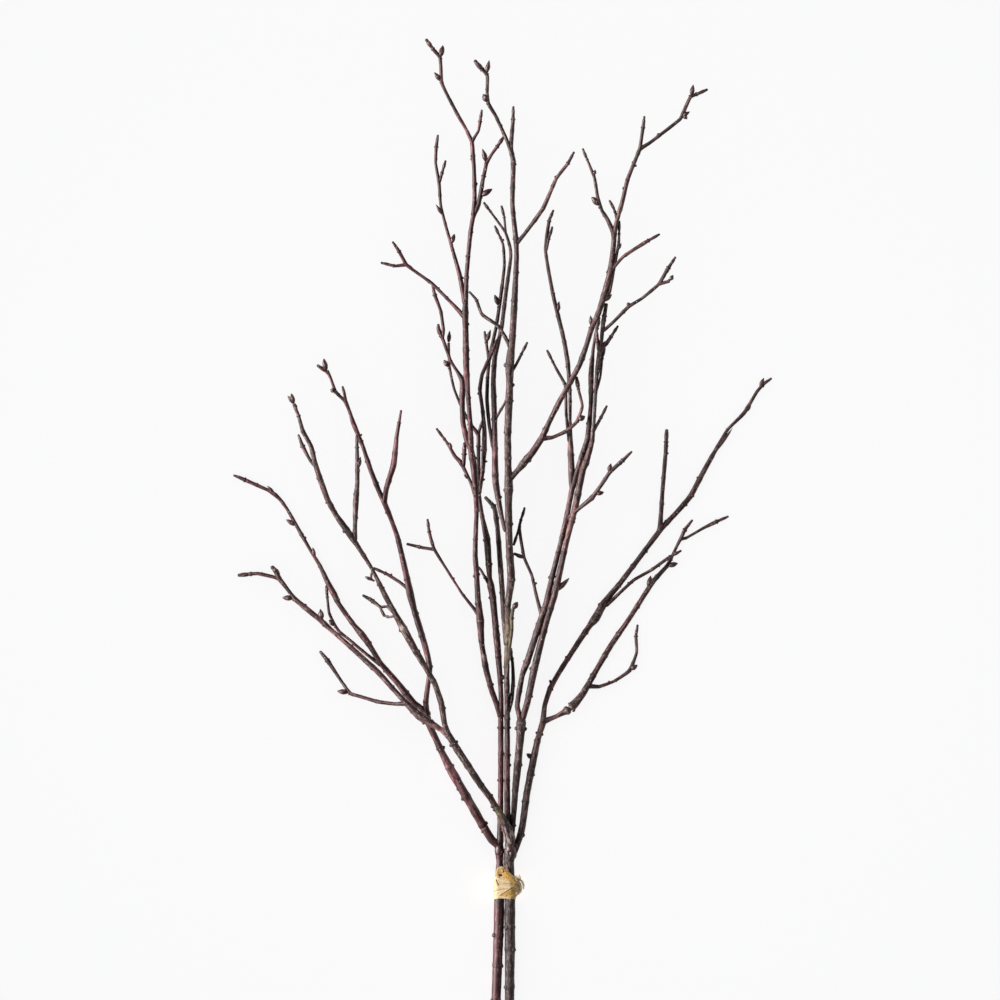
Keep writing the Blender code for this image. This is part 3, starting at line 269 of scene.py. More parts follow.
greyBranch = {
    "name": "grey", "node": "grey_branch", "slot": "bark_grey", "seed": 23, "stemTone": 0.75,
    "bark": {
        "deep": "170808", "skin": "40181a", "bloom": "9a7472", "bloomShare": 0.65,
        "furrow": "0b0505", "ridge": "3b2928", "ash": "ad9b92", "ashShare": 0.85,
        "fleck": "ab968a", "fleckShare": 0.55, "scar": "a6928a", "pale": "ab9c93", "olive": "6d6345",
        "rosy": "8b615f", "wood": "c4a274", "ring": "8a6840", "roughness": 0.4, "bump": 0.8},
    "budSkin": {"dark": "190a0a", "light": "401e1c", "down": "937c70", "downShare": 0.2, "roughness": 0.38},
    "nubSkin": {"dark": "130909", "light": "3a2725", "down": "8a7a70", "downShare": 0.4, "roughness": 0.6},
    "lensSkin": {"dark": "7f7069", "light": "a3968e", "down": "b6aaa1", "downShare": 0.5,
                 "roughness": 0.75},
    "blind": ["ra", "rb", "rc", "rd", "limbC", "greyDiagonal", "cLink"],  # these shoots end without a bud
    "stem": [
        (5.2, -459, 4.7, 9.3), (5.9, -405, 5.6, 8.6), (6.1, -377, 6.2, 8.7), (6.3, -356, 6.5, 9.4),
        (6.1, -338, 6.8, 9.6), (6.25, -316, 7.2, 9.7), (5.75, -290, 7.3, 9.3), (5.1, -281, 7.9, 9.8),
        (6.7, -270, 8.6, 10.5), (6.4, -262, 9.4, 8.6)],
    "shoots": [
        ("ra", "stem", 32, 0.6, [
            (6.2, -270, 6), (6.1, -259, 9.8), (1.4, -245.5, 7.4), (-3.4, -236.2, 6.3), (-7.4, -230, 6),
            (-11.4, -223, 5.8), (-19, -213, 6), (-27, -201, 6.4), (-42, -178, 6.8), (-50.5, -164, 6)]),
        ("ra1", "ra", 12, 0.4, [
            (-49, -167, 5.5), (-56, -161.5, 4.6), (-68, -154, 7), (-75, -149.5, 7.6), (-84, -141, 5.6),
            (-98, -126, 4.6), (-112, -110.5, 5), (-131, -93, 4.6), (-150, -76, 4.2), (-167, -61, 4.8),
            (-187, -44.5, 4.5), (-192, -38, 3.2), (-201.5, -26, 4.5), (-206, -24.5, 3.2),
            (-221, -21.3, 3.4), (-239, -22.8, 3)]),
        ("ra1Up", "ra1", 14, 0.3, [(-201.5, -26, 4), (-205.5, -18, 4), (-208.7, -14.5, 3.4)]),
        ("ra1Side", "ra1", 10, 0.3, [
            (-88, -138, 4.5), (-97, -138.6, 3.4), (-113, -136.5, 3.6), (-130, -131.5, 3.2),
            (-137, -129.5, 3.4), (-140, -126, 3), (-145, -119, 2.8), (-158.5, -99, 4), (-165, -91, 2.4)]),
        ("ra2", "ra", 50, 0.5, [
            (-50, -166, 6), (-52.5, -157, 5), (-55.5, -138, 5.6), (-62, -119, 5), (-73, -100, 5.4),
            (-79, -90, 6), (-90, -70, 7), (-97.5, -56.5, 5), (-106, -41, 5), (-115.5, -21.5, 3.4),
            (-119, -15, 3.4), (-131, 4, 4.6), (-141, 18.5, 6), (-150.5, 32, 4.8), (-158, 46, 5),
            (-163.5, 61, 5.2), (-169, 78, 4.6), (-172.5, 93, 4), (-180, 107, 4), (-184, 121, 3.1),
            (-188, 131, 3.4)]),
        ("ra2Left", "ra2", 46, 0.3, [
            (-168.5, 75, 3), (-173, 80, 2.8), (-180, 93, 3.8), (-184.2, 104, 1.4)]),
        ("ra2Up", "ra2", 46, 0.35, [
            (-133.5, 9, 4.4), (-133, 25, 4), (-132.4, 43, 5.4), (-131, 60, 4), (-131, 79, 4),
            (-131.6, 103.5, 2.4)]),
        ("ra2Curl", "ra2", 44, 0.6, [
            (-98, -57, 2.4), (-104.5, -50.8, 2.6), (-110, -51.3, 2.8), (-119, -44.7, 3.6),
            (-126.5, -40.5, 2.2)]),
        ("rb", "stem", 13, 0.35, [
            (5.6, -266, 5), (4.4, -250, 5.7), (3.8, -228, 5.7), (3.7, -205, 5.4), (3.8, -185, 5.3),
            (3.8, -150, 5.1)]),
        ("limbD", "rb", 70, 0.5, [
            (3.8, -152, 4.8), (3.7, -130, 5), (3.4, -100, 5), (5, -75, 6.6), (4.4, -50, 5.6),
            (7.4, -25, 7.2), (5.6, 3, 6.4), (4.9, 45, 6.8), (5.2, 56, 8), (4.6, 78, 6.2), (4.3, 105, 6.4),
            (5.5, 135, 7), (6, 150, 6.4), (6, 166, 8), (8.5, 191, 6), (10, 217, 6), (12.2, 262, 4.5),
            (11.8, 277, 4.8), (8.5, 311, 4.2), (9.3, 349, 4.6), (7.2, 361, 4), (9, 386, 3.4),
            (9.3, 399, 1.8)]),
        ("topLeft", "limbD", 74, 0.6, [
            (8, 356, 3.8), (4, 367, 3.4), (-7, 391, 3.2), (-13, 401, 3.4), (-14.2, 411, 3),
            (-14.2, 426.5, 3.4), (-20.5, 434, 3.6), (-25.8, 440.3, 3.4)]),
        ("topSide", "limbD", 76, 0.25, [
            (12.5, 276, 3.8), (20, 285, 3.4), (36, 307, 4), (48, 334, 3.2), (58, 347, 3.2),
            (64, 358, 1.8)]),
        ("dStrand", "limbD", 17, 0.3, [
            (4.5, -146, 4), (7.6, -135, 4), (9.2, -118, 3.6), (8.5, -101, 3), (5.5, -86, 3)]),
        ("limbC", "limbD", 18, 0.5, [
            (3, -84, 4.5), (0.5, -60, 4.4), (-0.8, -35, 4.8), (-2.8, -8, 4.8), (-4.8, 18, 4.4),
            (-8, 38.5, 4.4), (-16.5, 48, 3)]),
        ("limbC0", "limbD", 34, 0.3, [
            (2, 18, 3.6), (-1.8, 33, 4.4), (-6.6, 61, 6), (-7.3, 97, 5.2), (-7.8, 123, 5),
            (-8.6, 152, 4.6), (-7.2, 174, 4.4), (-1.3, 200, 3.8), (3, 234, 3.6), (7.1, 264, 3.1),
            (6.5, 272, 3), (2, 286, 2.6), (-17.5, 313, 1.6)]),
        ("c0Tip", "limbC0", 35, 0.3, [(2.5, 285, 2), (1, 300, 2.2), (-1.5, 310, 1.6)]),
        ("cDark", "limbC0", 32, 0.3, [
            (-9, 93, 3.4), (-12.3, 112, 3.2), (-14.4, 135, 3.6), (-13.8, 156, 3.2), (-12, 174, 3.2),
            (-6.3, 200, 3.2), (-2.3, 226, 3.4), (1.2, 256, 2.8), (0, 275, 2.6), (-7.5, 292, 1.6)]),
        ("cDarkSpur", "cDark", 31, 0.3, [(-12.7, 171, 2.6), (-15.7, 191, 2.6), (-16.6, 197, 1.4)]),
        ("cLink", "limbC0", 41, 0.3, [(-6.5, 118.5, 2.4), (1, 131, 2.4), (3.5, 136, 2.2)]),
        ("greyDiagonal", "limbD", 64, 0.7, [
            (8, 179, 4), (2, 191.5, 3.6), (-5, 202, 3.4), (-19, 212, 3.2), (-24, 225, 2.8),
            (-30.6, 232.6, 1.6)]),
        ("dSpur", "limbD", 58, 0.3, [(9, 162, 2.6), (15, 173, 2.6), (22, 187, 1.8)]),
        ("diag", "limbD", 75, 0.35, [
            (4.6, 62, 5), (13.5, 72, 4.8), (18, 77.5, 7), (27, 88.5, 6.4), (35, 101, 6), (42, 116, 4.5),
            (50.5, 133, 4.8), (60, 150, 5), (69, 167, 5), (75, 184, 4.6), (80, 200, 4.8),
            (86.5, 215, 5.4), (94.5, 242, 5.6), (98, 262, 5), (99.7, 283, 4.6), (94, 297, 4),
            (89, 305, 3.2), (85, 318, 3), (82, 335, 3), (71.5, 361, 1.6)]),
        ("rightTop", "diag", 82, 0.2, [
            (99.8, 284, 4.2), (102.6, 297, 4), (107, 312, 4), (112, 333, 3.8), (120, 353, 3.4),
            (123, 360, 3.8), (132, 366, 3.2), (159, 387, 3.2), (161.5, 392, 3.4), (168.5, 407, 3.2),
            (175, 410, 3), (184, 414, 2.4)]),
        ("rightTopSpur", "rightTop", 84, 0.3, [(123, 360, 3), (126, 381, 3.2), (127, 390, 1.8)]),
        ("thinStrand", "diag", 72, 0.3, [
            (95.5, 231, 2.8), (99.5, 252, 3), (104, 276, 2.6), (104.6, 296, 1.6)]),
        ("pinkTwig", "diag", 78, 0.1, [
            (97, 251, 2.8), (108, 263.5, 3), (127, 276, 3.6), (141, 284, 1.2)]),
        ("diagLow", "diag", 58, 0.3, [
            (35, 100.5, 4.6), (44, 101.2, 3.5), (57, 107, 3.4), (66, 115, 3.2), (71.3, 129, 2.8),
            (67.8, 145, 2.6), (66, 156, 3)]),
        ("rc", "stem", 15, 0.75, [
            (7.4, -266, 4.6), (8.8, -250, 4.6), (11.2, -215, 6), (12.7, -200, 7), (15.6, -168, 7.2),
            (16.3, -156, 9), (17, -150, 8)]),
        ("limbE", "rc", 54, 0.4, [
            (15.5, -152, 5), (12.9, -140, 4.6), (17.5, -112, 5), (22, -100, 6), (33, -66, 6),
            (38.5, -50, 6), (44, -25, 5), (50.3, 0, 4.6), (57, 28, 5), (61.8, 53, 5), (70, 81.5, 5),
            (76, 100, 5), (79, 131, 4), (79.3, 159, 5), (81.3, 182, 3), (86.5, 210, 3)]),
        ("limbF", "rc", 56, 0.35, [
            (17.5, -152, 5.5), (22.5, -135, 6), (28, -108, 6.6), (38.7, -66, 5.6), (46.5, -40, 6),
            (57.3, 8, 5), (66, 43, 6), (71.8, 72, 6), (75, 80, 6), (80, 97, 4.2), (82, 116, 2.8),
            (84, 153, 3.6), (87.7, 181, 5), (93.5, 186.5, 4), (103.6, 201.8, 1.4)]),
        ("fDark", "limbF", 66, 0.4, [(88.3, 184, 3), (90, 203, 4), (93, 222, 3.4)]),
        ("fThin", "limbF", 54, 0.3, [
            (83.4, 141, 2), (87.4, 155, 2.2), (89.1, 171, 2.2), (91.5, 184, 2.4)]),
        ("fLow", "limbF", 50, 0.3, [(80.8, 106, 2.8), (87.5, 118, 2.8), (93.6, 130, 1.8)]),
        ("fRight", "fDark", 68, 0.3, [
            (90, 197, 3), (99, 204.8, 3), (113, 218.8, 3.4), (125, 226.3, 2.9), (140, 239, 3.2),
            (148, 252.5, 3.6), (155.3, 263.7, 1.8)]),
        ("fRightSpur", "fRight", 70, 0.3, [(140, 239, 2.7), (150, 241.8, 3)]),
        ("efUpper", "limbE", 50, 0.3, [
            (62.2, 52, 3.8), (61.6, 62, 5.2), (61.6, 72, 6.2), (60.8, 90, 5.4), (60.4, 115, 2.9),
            (60.3, 140, 3.2), (58.3, 168, 4.2), (54.8, 189, 4), (45, 230, 3.6), (38.2, 270, 3),
            (41.5, 296, 3.2), (45.5, 306, 1.6)]),
        ("efLeft", "efUpper", 48, 0.3, [
            (59.5, 98, 3), (56.9, 122, 2.8), (56, 148, 3), (48, 163, 2.6), (39.5, 180, 1.4)]),
        ("efTip", "efUpper", 52, 0.3, [(38.8, 269, 2.2), (41, 279, 2.6), (44.5, 291, 1.4)]),
        ("eLeft", "limbE", 34, 0.3, [
            (34.5, -58, 3.4), (29.3, -38, 3), (26, -23, 2.8), (19, -6.5, 3), (14.8, 21, 2.8),
            (19.6, 38.5, 1.6)]),
        ("eRight", "limbE", 62, 0.4, [
            (56.5, 26.5, 3.6), (68, 37, 3.5), (80, 47, 4.5), (88, 58, 3.5), (96.3, 70, 3.6),
            (107, 80, 3.6), (116, 88.7, 2)]),
        ("rd", "stem", 9, 0.5, [
            (9, -274, 5.4), (12.8, -265, 6), (16, -255.5, 6.2), (18, -245.5, 6), (21.5, -219, 6.3),
            (27.8, -187, 6.4), (31.5, -170, 5.4), (36.5, -154, 6)]),
        ("rd1", "rd", 2.2, 0.4, [
            (36.3, -153, 5), (37.7, -139.7, 4.4), (42.4, -125, 5), (51, -109.6, 4.6), (67.6, -83.7, 5),
            (78.6, -67.4, 5.8), (83.4, -61.4, 8), (91.5, -47, 6), (104.3, -31.5, 5), (122, -8.2, 4.6),
            (143, 19.5, 4.8), (157.5, 35, 4.5), (168.9, 48.4, 5), (180.8, 70.9, 4.6), (194.8, 95.7, 3.6),
            (202.3, 108.3, 2.8), (217.4, 123.6, 3.6), (228.8, 142.6, 3), (235.4, 150, 3.2),
            (242.1, 154.8, 1.6)]),
        ("rd1Up", "rd1", 22, 0.35, [
            (141.5, 18, 4.6), (142.5, 35, 4.1), (143.8, 55, 3.8), (146.4, 87, 3.8), (147.4, 108.8, 3)]),
        ("rd1Twig", "rd1", 8, 0.3, [
            (93.5, -49.5, 3.4), (107, -37, 3), (118, -27, 3), (134, -17.8, 3), (149.5, -6.8, 3),
            (160.8, -0.4, 1.4)]),
        ("rd2", "rd", 2, 0.45, [
            (37.5, -154, 5), (48, -149.8, 4.2), (54.5, -146.4, 5.4), (57.3, -144.8, 8.2),
            (59, -143.7, 7.8), (59.9, -143, 5), (60.6, -142.3, 5), (61.5, -141.5, 7.8),
            (64.5, -138.7, 7.5), (72, -129.4, 6.2), (82.2, -111.5, 5.2), (97.4, -85.7, 5),
            (115, -60, 4.6), (135.5, -28, 4.5), (148, -14, 3.6), (156.4, 3, 2.8), (160, 9.5, 3.2),
            (164.8, 10.7, 2.5), (181.1, 20, 2.8), (190.6, 24.7, 3.6), (203.3, 30.4, 1.2)]),
        ("rd2Up", "rd2", 6, 0.3, [(160, 9.5, 2.8), (163.7, 18, 3.4), (170.8, 27.2, 2)]),
        ("rd2Side", "rd2", 3, 0.35, [
            (78.5, -122.7, 4), (86.7, -123, 3.4), (100.5, -118, 2.8), (114, -108.5, 3.6),
            (120.3, -92.6, 2.8), (119.8, -77, 3), (121.3, -67.2, 1.8)]),
        ("oliveStrand", "limbD", 34, 0.6, [
            (4, -118, 2), (4.2, -108, 2.4), (5, -96, 2.6), (6.5, -84, 3), (7.8, -72, 3.4),
            (7.8, -62, 3.6), (8.8, -54, 3.2), (10.5, -50, 3)]),
        ("ra2CurlLow", "ra2", 40, 0.2, [
            (-98, -59.5, 2.2), (-103, -60.3, 2.2), (-107.3, -58.3, 2.2), (-109.5, -54, 2.2),
            (-110.8, -51.5, 2.2)]),
        ("eLeftArm", "eLeft", 34, 0.1, [(18.6, -6, 2.4), (14, -5, 2.6), (9.5, -3, 2.6)]),
        ("eLeftLean", "eLeft", 36, 0.2, [(14.6, 20, 2.2), (12, 12, 2.2), (9.5, 4, 2.2)]),
        ("rightTopThin", "rightTop", 75, 0.1, [
            (102, 298, 2.2), (101, 303, 2.3), (99, 308, 2.2), (95.5, 314.5, 1.2)]),
        ("fRed", "limbF", 57, 0.0, [(86.5, 180, 4), (84.8, 190, 3.2), (84, 198.5, 2.2)]),
    ],
    "buds": [("ra1", (-161, -62.5), (-164.5, -53), 4.5), ("ra1", (-188, -44), (-199, -43), 4.6),
             ("ra1Side", (-139, -129), (-149.5, -127), 4.2), ("ra2", (-188.5, 131.5), (-190.5, 141), 4),
             ("ra2Up", (-130, 72), (-128, 84), 3.5), ("topLeft", (-14, 402), (-18, 410), 5),
             ("topLeft", (-14.1, 427.5), (-12.3, 440.5), 3.6), ("cDark", (-3, 220), (-7.5, 230), 4),
             ("cDarkSpur", (-13.8, 187), (-11, 198.5), 3.4), ("diag", (88, 310), (79.5, 317.5), 5),
             ("diag", (78, 200), (78.5, 211), 3.5), ("diag", (91.5, 223), (98, 230), 4),
             ("rightTop", (161, 390), (168, 394), 3.5), ("rightTop", (169, 409), (171, 418.5), 4),
             ("diagLow", (68, 116.5), (74, 120.5), 4.5), ("limbF", (50, -39), (59.8, -25), 4.5),
             ("efUpper", (49.3, 213.5), (50.5, 224), 3.3), ("eRight", (83.5, 48.5), (91, 52), 3.6),
             ("eRight", (95, 69), (97, 78), 4), ("fRightSpur", (150.5, 242), (153, 247.3), 3.5),
             ("rd", (26.5, -188), (21, -183.5), 4), ("rd1", (231, 146.8), (234.8, 155.2), 3.5),
             ("rd1", (218.5, 123), (223.6, 130), 3), ("rd2", (149.5, -15.5), (157.8, -12), 4),
             ("rd2", (129.5, -33.5), (133.2, -23), 4), ("rd2Side", (114.5, -108.6), (121.2, -103.4), 4),
             ("ra2", (-189, 132), (-193.8, 139), 3), ("diag", (82, 336), (83, 342), 3),
             ("rightTop", (161, 391), (165.5, 387), 3.4), ("rd1", (191.5, 86), (207, 110), 3),
             ("thinStrand", (103.5, 269.5), (106.5, 276), 2.6),
             ("oliveStrand", (9.4, -53), (13.2, -46.5), 4.4)],
    "scars": [("limbD", 5.2, 56), ("limbD", 5.5, 135), ("limbD", 10, 217), ("rd", 21.5, -219),
              ("rd2", 90.5, -94.3), ("rd1", 108.5, -24), ("limbE", 22, -100), ("limbF", 63, 26.5),
              ("topSide", 36, 307), ("ra1", -230, -21.5), ("ra1Side", -113, -136.5), ("ra2", -186.5, 128),
              ("ra2Left", -180, 93), ("ra2Curl", -119, -44.7), ("limbD", 9, 386), ("limbD", 9.3, 349),
              ("limbD", 6, 166), ("topLeft", -21, 433), ("topSide", 58, 347), ("rightTop", 175, 410),
              ("rightTopSpur", 126, 381), ("pinkTwig", 127, 276), ("efUpper", 41.5, 296),
              ("eRight", 107, 80), ("rd2", 190.6, 24.7), ("limbF", 75, 80), ("diag", 18, 77.5),
              ("fRight", 148, 252.5), ("rd1Up", 143.8, 55), ("rc", 16.3, -156), ("rd2", 57.8, -144.5),
              ("rd2", 62.2, -140.8), ("rd1", 81.5, -63.5), ("rd1", 85.5, -57.5), ("rd", 24.5, -204),
              ("rd", 22.5, -214)],
    "nubs": [("ra", -10, -231, 1.8, 1), ("ra", -9, -219, 1.6, 0), ("ra1", -72, -157, 1.6, 1),
             ("ra2", -106.5, -34, 1.3, 1), ("ra2", -160, 42, 1.2, 1), ("ra2", -162, 63, 1.2, 0),
             ("ra2", -185.5, 129.5, 1.2, 1), ("rb", 7, -194, 1.6, 1), ("limbD", 11, 148, 1.8, 1),
             ("topLeft", -0.5, 382, 1.3, 0), ("topSide", 46.5, 336, 1.3, 1),
             ("dStrand", 7.6, -139, 1.3, 1), ("dStrand", 8.8, -88, 1.2, 0), ("cDark", 1, 279, 1.3, 1),
             ("diag", 101, 249, 1.5, 1), ("diag", 98, 232, 1.3, 0), ("rightTop", 107.5, 325, 1.4, 1),
             ("rightTop", 119, 345, 1.4, 2), ("rightTop", 116, 349, 1.2, 0),
             ("rightTop", 139, 375, 1.3, 1), ("diagLow", 67.5, 146, 1.4, 1), ("limbE", 22.5, -99, 1.5, 1),
             ("limbE", 30, -66, 1.4, 0), ("limbE", 41, -24.5, 1.5, 1), ("limbE", 71, 87, 1.3, 1),
             ("limbF", 66.5, 28, 1.4, 0), ("limbF", 86.5, 161, 1.7, 1), ("fLow", 89, 119.5, 1.1, 1),
             ("fRight", 112, 222, 1.9, 1), ("efUpper", 61, 144, 1.3, 0), ("eLeft", 30.8, -30.5, 1.5, 2),
             ("rd", 19.5, -257, 1.6, 1), ("rd1", 41, -118, 1.7, 2), ("rd1", 171, 48.5, 1.5, 1),
             ("rd1Up", 149.5, 87, 1.2, 1), ("rd1Twig", 112, -28.5, 1.1, 1),
             ("rd1Twig", 142, -15.5, 1.1, 0), ("rd2Up", 165.5, 16.5, 1.0, 1),
             ("rd2Side", 95, -118, 1.2, 1), ("rd2Side", 120, -77, 1.2, 1), ("limbD", 9, 171, 1.2, 2)],
    "pale": [("ra", 5, -255, 9), ("ra2", -90, -70, 6), ("rd2", 60.3, -142.6, 1.5),
             ("ra2Curl", -104, -52, 8), ("ra2CurlLow", -104, -59, 8)],
    "olive": [("ra", -4.5, -236, 6), ("limbD", 6, -78, 22), ("oliveStrand", 8, -70, 30)],
    "dusky": [("stem", 6, -345, 34), ("stem", 6, -395, 34), ("stem", 6, -445, 34), ("rc", 11, -220, 28),
              ("rightTop", 150, 380, 20), ("rightTop", 124, 358, 14), ("rd", 24, -206, 24),
              ("topLeft", -8, 392, 14), ("limbD", 11, 225, 12), ("rb", 4, -160, 10),
              ("ra", -24, -206, 12), ("rd1", 128, 0, 22), ("ra2", -142, 20, 10)],
    "rosy": [("rd1", 42, -125, 16), ("rd1", 58, -98, 16), ("rd1", 73, -75, 9), ("rd2", 50, -148.5, 7),
             ("rd", 31.5, -166, 14), ("rb", 4, -200, 26), ("pinkTwig", 120, 270, 16),
             ("topSide", 50, 335, 14), ("ra1", -60, -158, 10), ("ra1", -150, -76, 18),
             ("rd2", 110, -66, 16), ("limbF", 62, 25, 20), ("limbE", 60, 45, 12), ("limbC0", -7, 90, 20),
             ("rightTop", 105, 305, 14), ("fRed", 85, 190, 12), ("efUpper", 60.5, 95, 14),
             ("diagLow", 66, 120, 14)],
}


# node helpers
def addNode(tree, kind, **settings):
    node = tree.nodes.new(kind)
    for key, value in settings.items():
        setattr(node, key, value)
    return node


def mathNode(tree, operation, first, second=None):
    # the two inputs are sockets or plain numbers
    node = addNode(tree, "ShaderNodeMath", operation=operation)
    for socket, value in zip(node.inputs, (first, second)):
        if isinstance(value, (int, float)):
            socket.default_value = value
        elif value is not None:
            tree.links.new(value, socket)
    return node.outputs[0]


def times(tree, first, second):
    return mathNode(tree, "MULTIPLY", first, second)


def plus(tree, first, second):
    return mathNode(tree, "ADD", first, second)


def stretched(tree, vector, scale):
    node = addNode(tree, "ShaderNodeVectorMath", operation="MULTIPLY")
    node.inputs[1].default_value = scale
    tree.links.new(vector, node.inputs[0])
    return node.outputs[0]


def readAttribute(tree, name, kind="FLOAT"):
    # works in a geometry tree
    node = addNode(tree, "GeometryNodeInputNamedAttribute", data_type=kind)
    node.inputs["Name"].default_value = name
    return node.outputs["Attribute"]


def storeAttribute(tree, geometry, name, value, kind="FLOAT"):
    node = addNode(tree, "GeometryNodeStoreNamedAttribute", data_type=kind, domain="POINT")
    node.inputs["Name"].default_value = name
    tree.links.new(geometry, node.inputs["Geometry"])
    tree.links.new(value, node.inputs["Value"])
    return node.outputs["Geometry"]


def startTree(name, inputs):
    # a geometry tree with a geometry input and the named ones, given as name: socket type
    tree = bpy.data.node_groups.new(name, "GeometryNodeTree")
    tree.interface.new_socket("Geometry", in_out="INPUT", socket_type="NodeSocketGeometry")
    for title, kind in inputs.items():
        tree.interface.new_socket(title, in_out="INPUT", socket_type=kind)
    tree.interface.new_socket("Geometry", in_out="OUTPUT", socket_type="NodeSocketGeometry")
    return tree, addNode(tree, "NodeGroupInput"), addNode(tree, "NodeGroupOutput")


def runTree(name, source, tree, values):
    # the tree's result on a source mesh as a plain mesh object
    holder = bpy.data.objects.new(name, source)
    bpy.context.scene.collection.objects.link(holder)
    modifier = holder.modifiers.new(tree.name, "NODES")
    modifier.node_group = tree
    for item in tree.interface.items_tree:
        if item.in_out == "INPUT" and item.name in values:
            modifier[item.identifier] = values[item.name]
    evaluated = holder.evaluated_get(bpy.context.evaluated_depsgraph_get())
    mesh = bpy.data.meshes.new_from_object(evaluated)
    mesh.name = name
    bpy.data.objects.remove(holder)
    bpy.data.meshes.remove(source)
    piece = bpy.data.objects.new(name, mesh)
    bpy.context.scene.collection.objects.link(piece)
    return piece


def finishTree(tree, geometry, material, outputs):
    # every tree ends in smooth, real geometry with its material
    link = tree.links.new
    realize = addNode(tree, "GeometryNodeRealizeInstances")
    link(geometry, realize.inputs[0])
    smooth = addNode(tree, "GeometryNodeSetShadeSmooth")
    link(realize.outputs[0], smooth.inputs["Geometry"])
    cover = addNode(tree, "GeometryNodeSetMaterial")
    link(smooth.outputs[0], cover.inputs["Geometry"])
    link(material, cover.inputs["Material"])
    link(cover.outputs[0], outputs.inputs[0])


# materials
def paint(code):
    # a colour written as six hex digits, as the shader wants it
    channels = [int(code[k:k + 2], 16) / 255 for k in (0, 2, 4)]
    return (*(c / 12.92 if c <= 0.04045 else ((c + 0.055) / 1.055) ** 2.4 for c in channels), 1.0)


def startMaterial(name):
    material = bpy.data.materials.new(name)
    material.use_nodes = True
    tree = material.node_tree
    return material, tree, tree.nodes["Principled BSDF"]


def noiseAt(tree, vector, detail=3.0, roughness=0.55, distortion=0.0):
    node = addNode(tree, "ShaderNodeTexNoise", noise_dimensions="3D")
    node.inputs["Scale"].default_value = 1.0
    node.inputs["Detail"].default_value = detail
    node.inputs["Roughness"].default_value = roughness
    node.inputs["Distortion"].default_value = distortion
    tree.links.new(vector, node.inputs["Vector"])
    return node.outputs["Fac"]


def between(tree, value, low, high):
    # 0 below low, 1 above high, smooth in between
    node = addNode(tree, "ShaderNodeMapRange", interpolation_type="SMOOTHSTEP")
    node.inputs["From Min"].default_value = low
    node.inputs["From Max"].default_value = high
    tree.links.new(value, node.inputs["Value"])
    return node.outputs["Result"]


def mixColour(tree, share, first, second, blend="MIX"):
    node = addNode(tree, "ShaderNodeMix", data_type="RGBA", blend_type=blend)
    for socket, value in ((node.inputs[0], share), (node.inputs[6], first), (node.inputs[7], second)):
        if isinstance(value, (int, float, tuple)):
            socket.default_value = value
        else:
            tree.links.new(value, socket)
    return node.outputs[2]


def painted(tree, name, output="Fac"):
    # what the mesh carries at each point: a number, or a place as "Vector"
    return addNode(tree, "ShaderNodeAttribute", attribute_name=name).outputs[output]


def addBump(tree, shader, height, strength, reach):
    bump = addNode(tree, "ShaderNodeBump")
    bump.inputs["Strength"].default_value = strength
    bump.inputs["Distance"].default_value = reach * mm
    tree.links.new(height, bump.inputs["Height"])
    tree.links.new(bump.outputs["Normal"], shader.inputs["Normal"])


barkPattern = {
    # how fast each pattern changes round and along a shoot, per millimetre
    "patches": (0.22, 0.22, 0.06), "streaks": (0.7, 0.7, 0.12), "mottles": (0.5, 0.5, 0.3),
    "grain": (4.0, 4.0, 1.6), "flecks": (0.62, 0.62, 0.36),
    # marks that the mesh carries: the pattern that breaks them up, its lower and upper limit, their share
    "marks": [("rosy", "streaks", 0.40, 0.60, 0.7), ("scar", "grain", 0.30, 0.60, 0.55),
              ("pale", "streaks", 0.44, 0.60, 0.75), ("olive", "streaks", 0.36, 0.56, 0.7)],
    "pits": 0.5, "shade": 0.65,  # share of the dark pits and of the shaded places
    "growth": 6.5,               # growth rings on a sawn end, in radians for each millimetre
    "pith": (0.75, 0.45),        # radii where the pith begins and is full
    "gloss": 0.42, "glossTint": (1.0, 0.88, 0.87, 1.0),
    "roughTone": 0.22, "roughGrain": 0.10,  # how much rough bark and its grain dull the surface
    "bumpReach": 0.7,
}


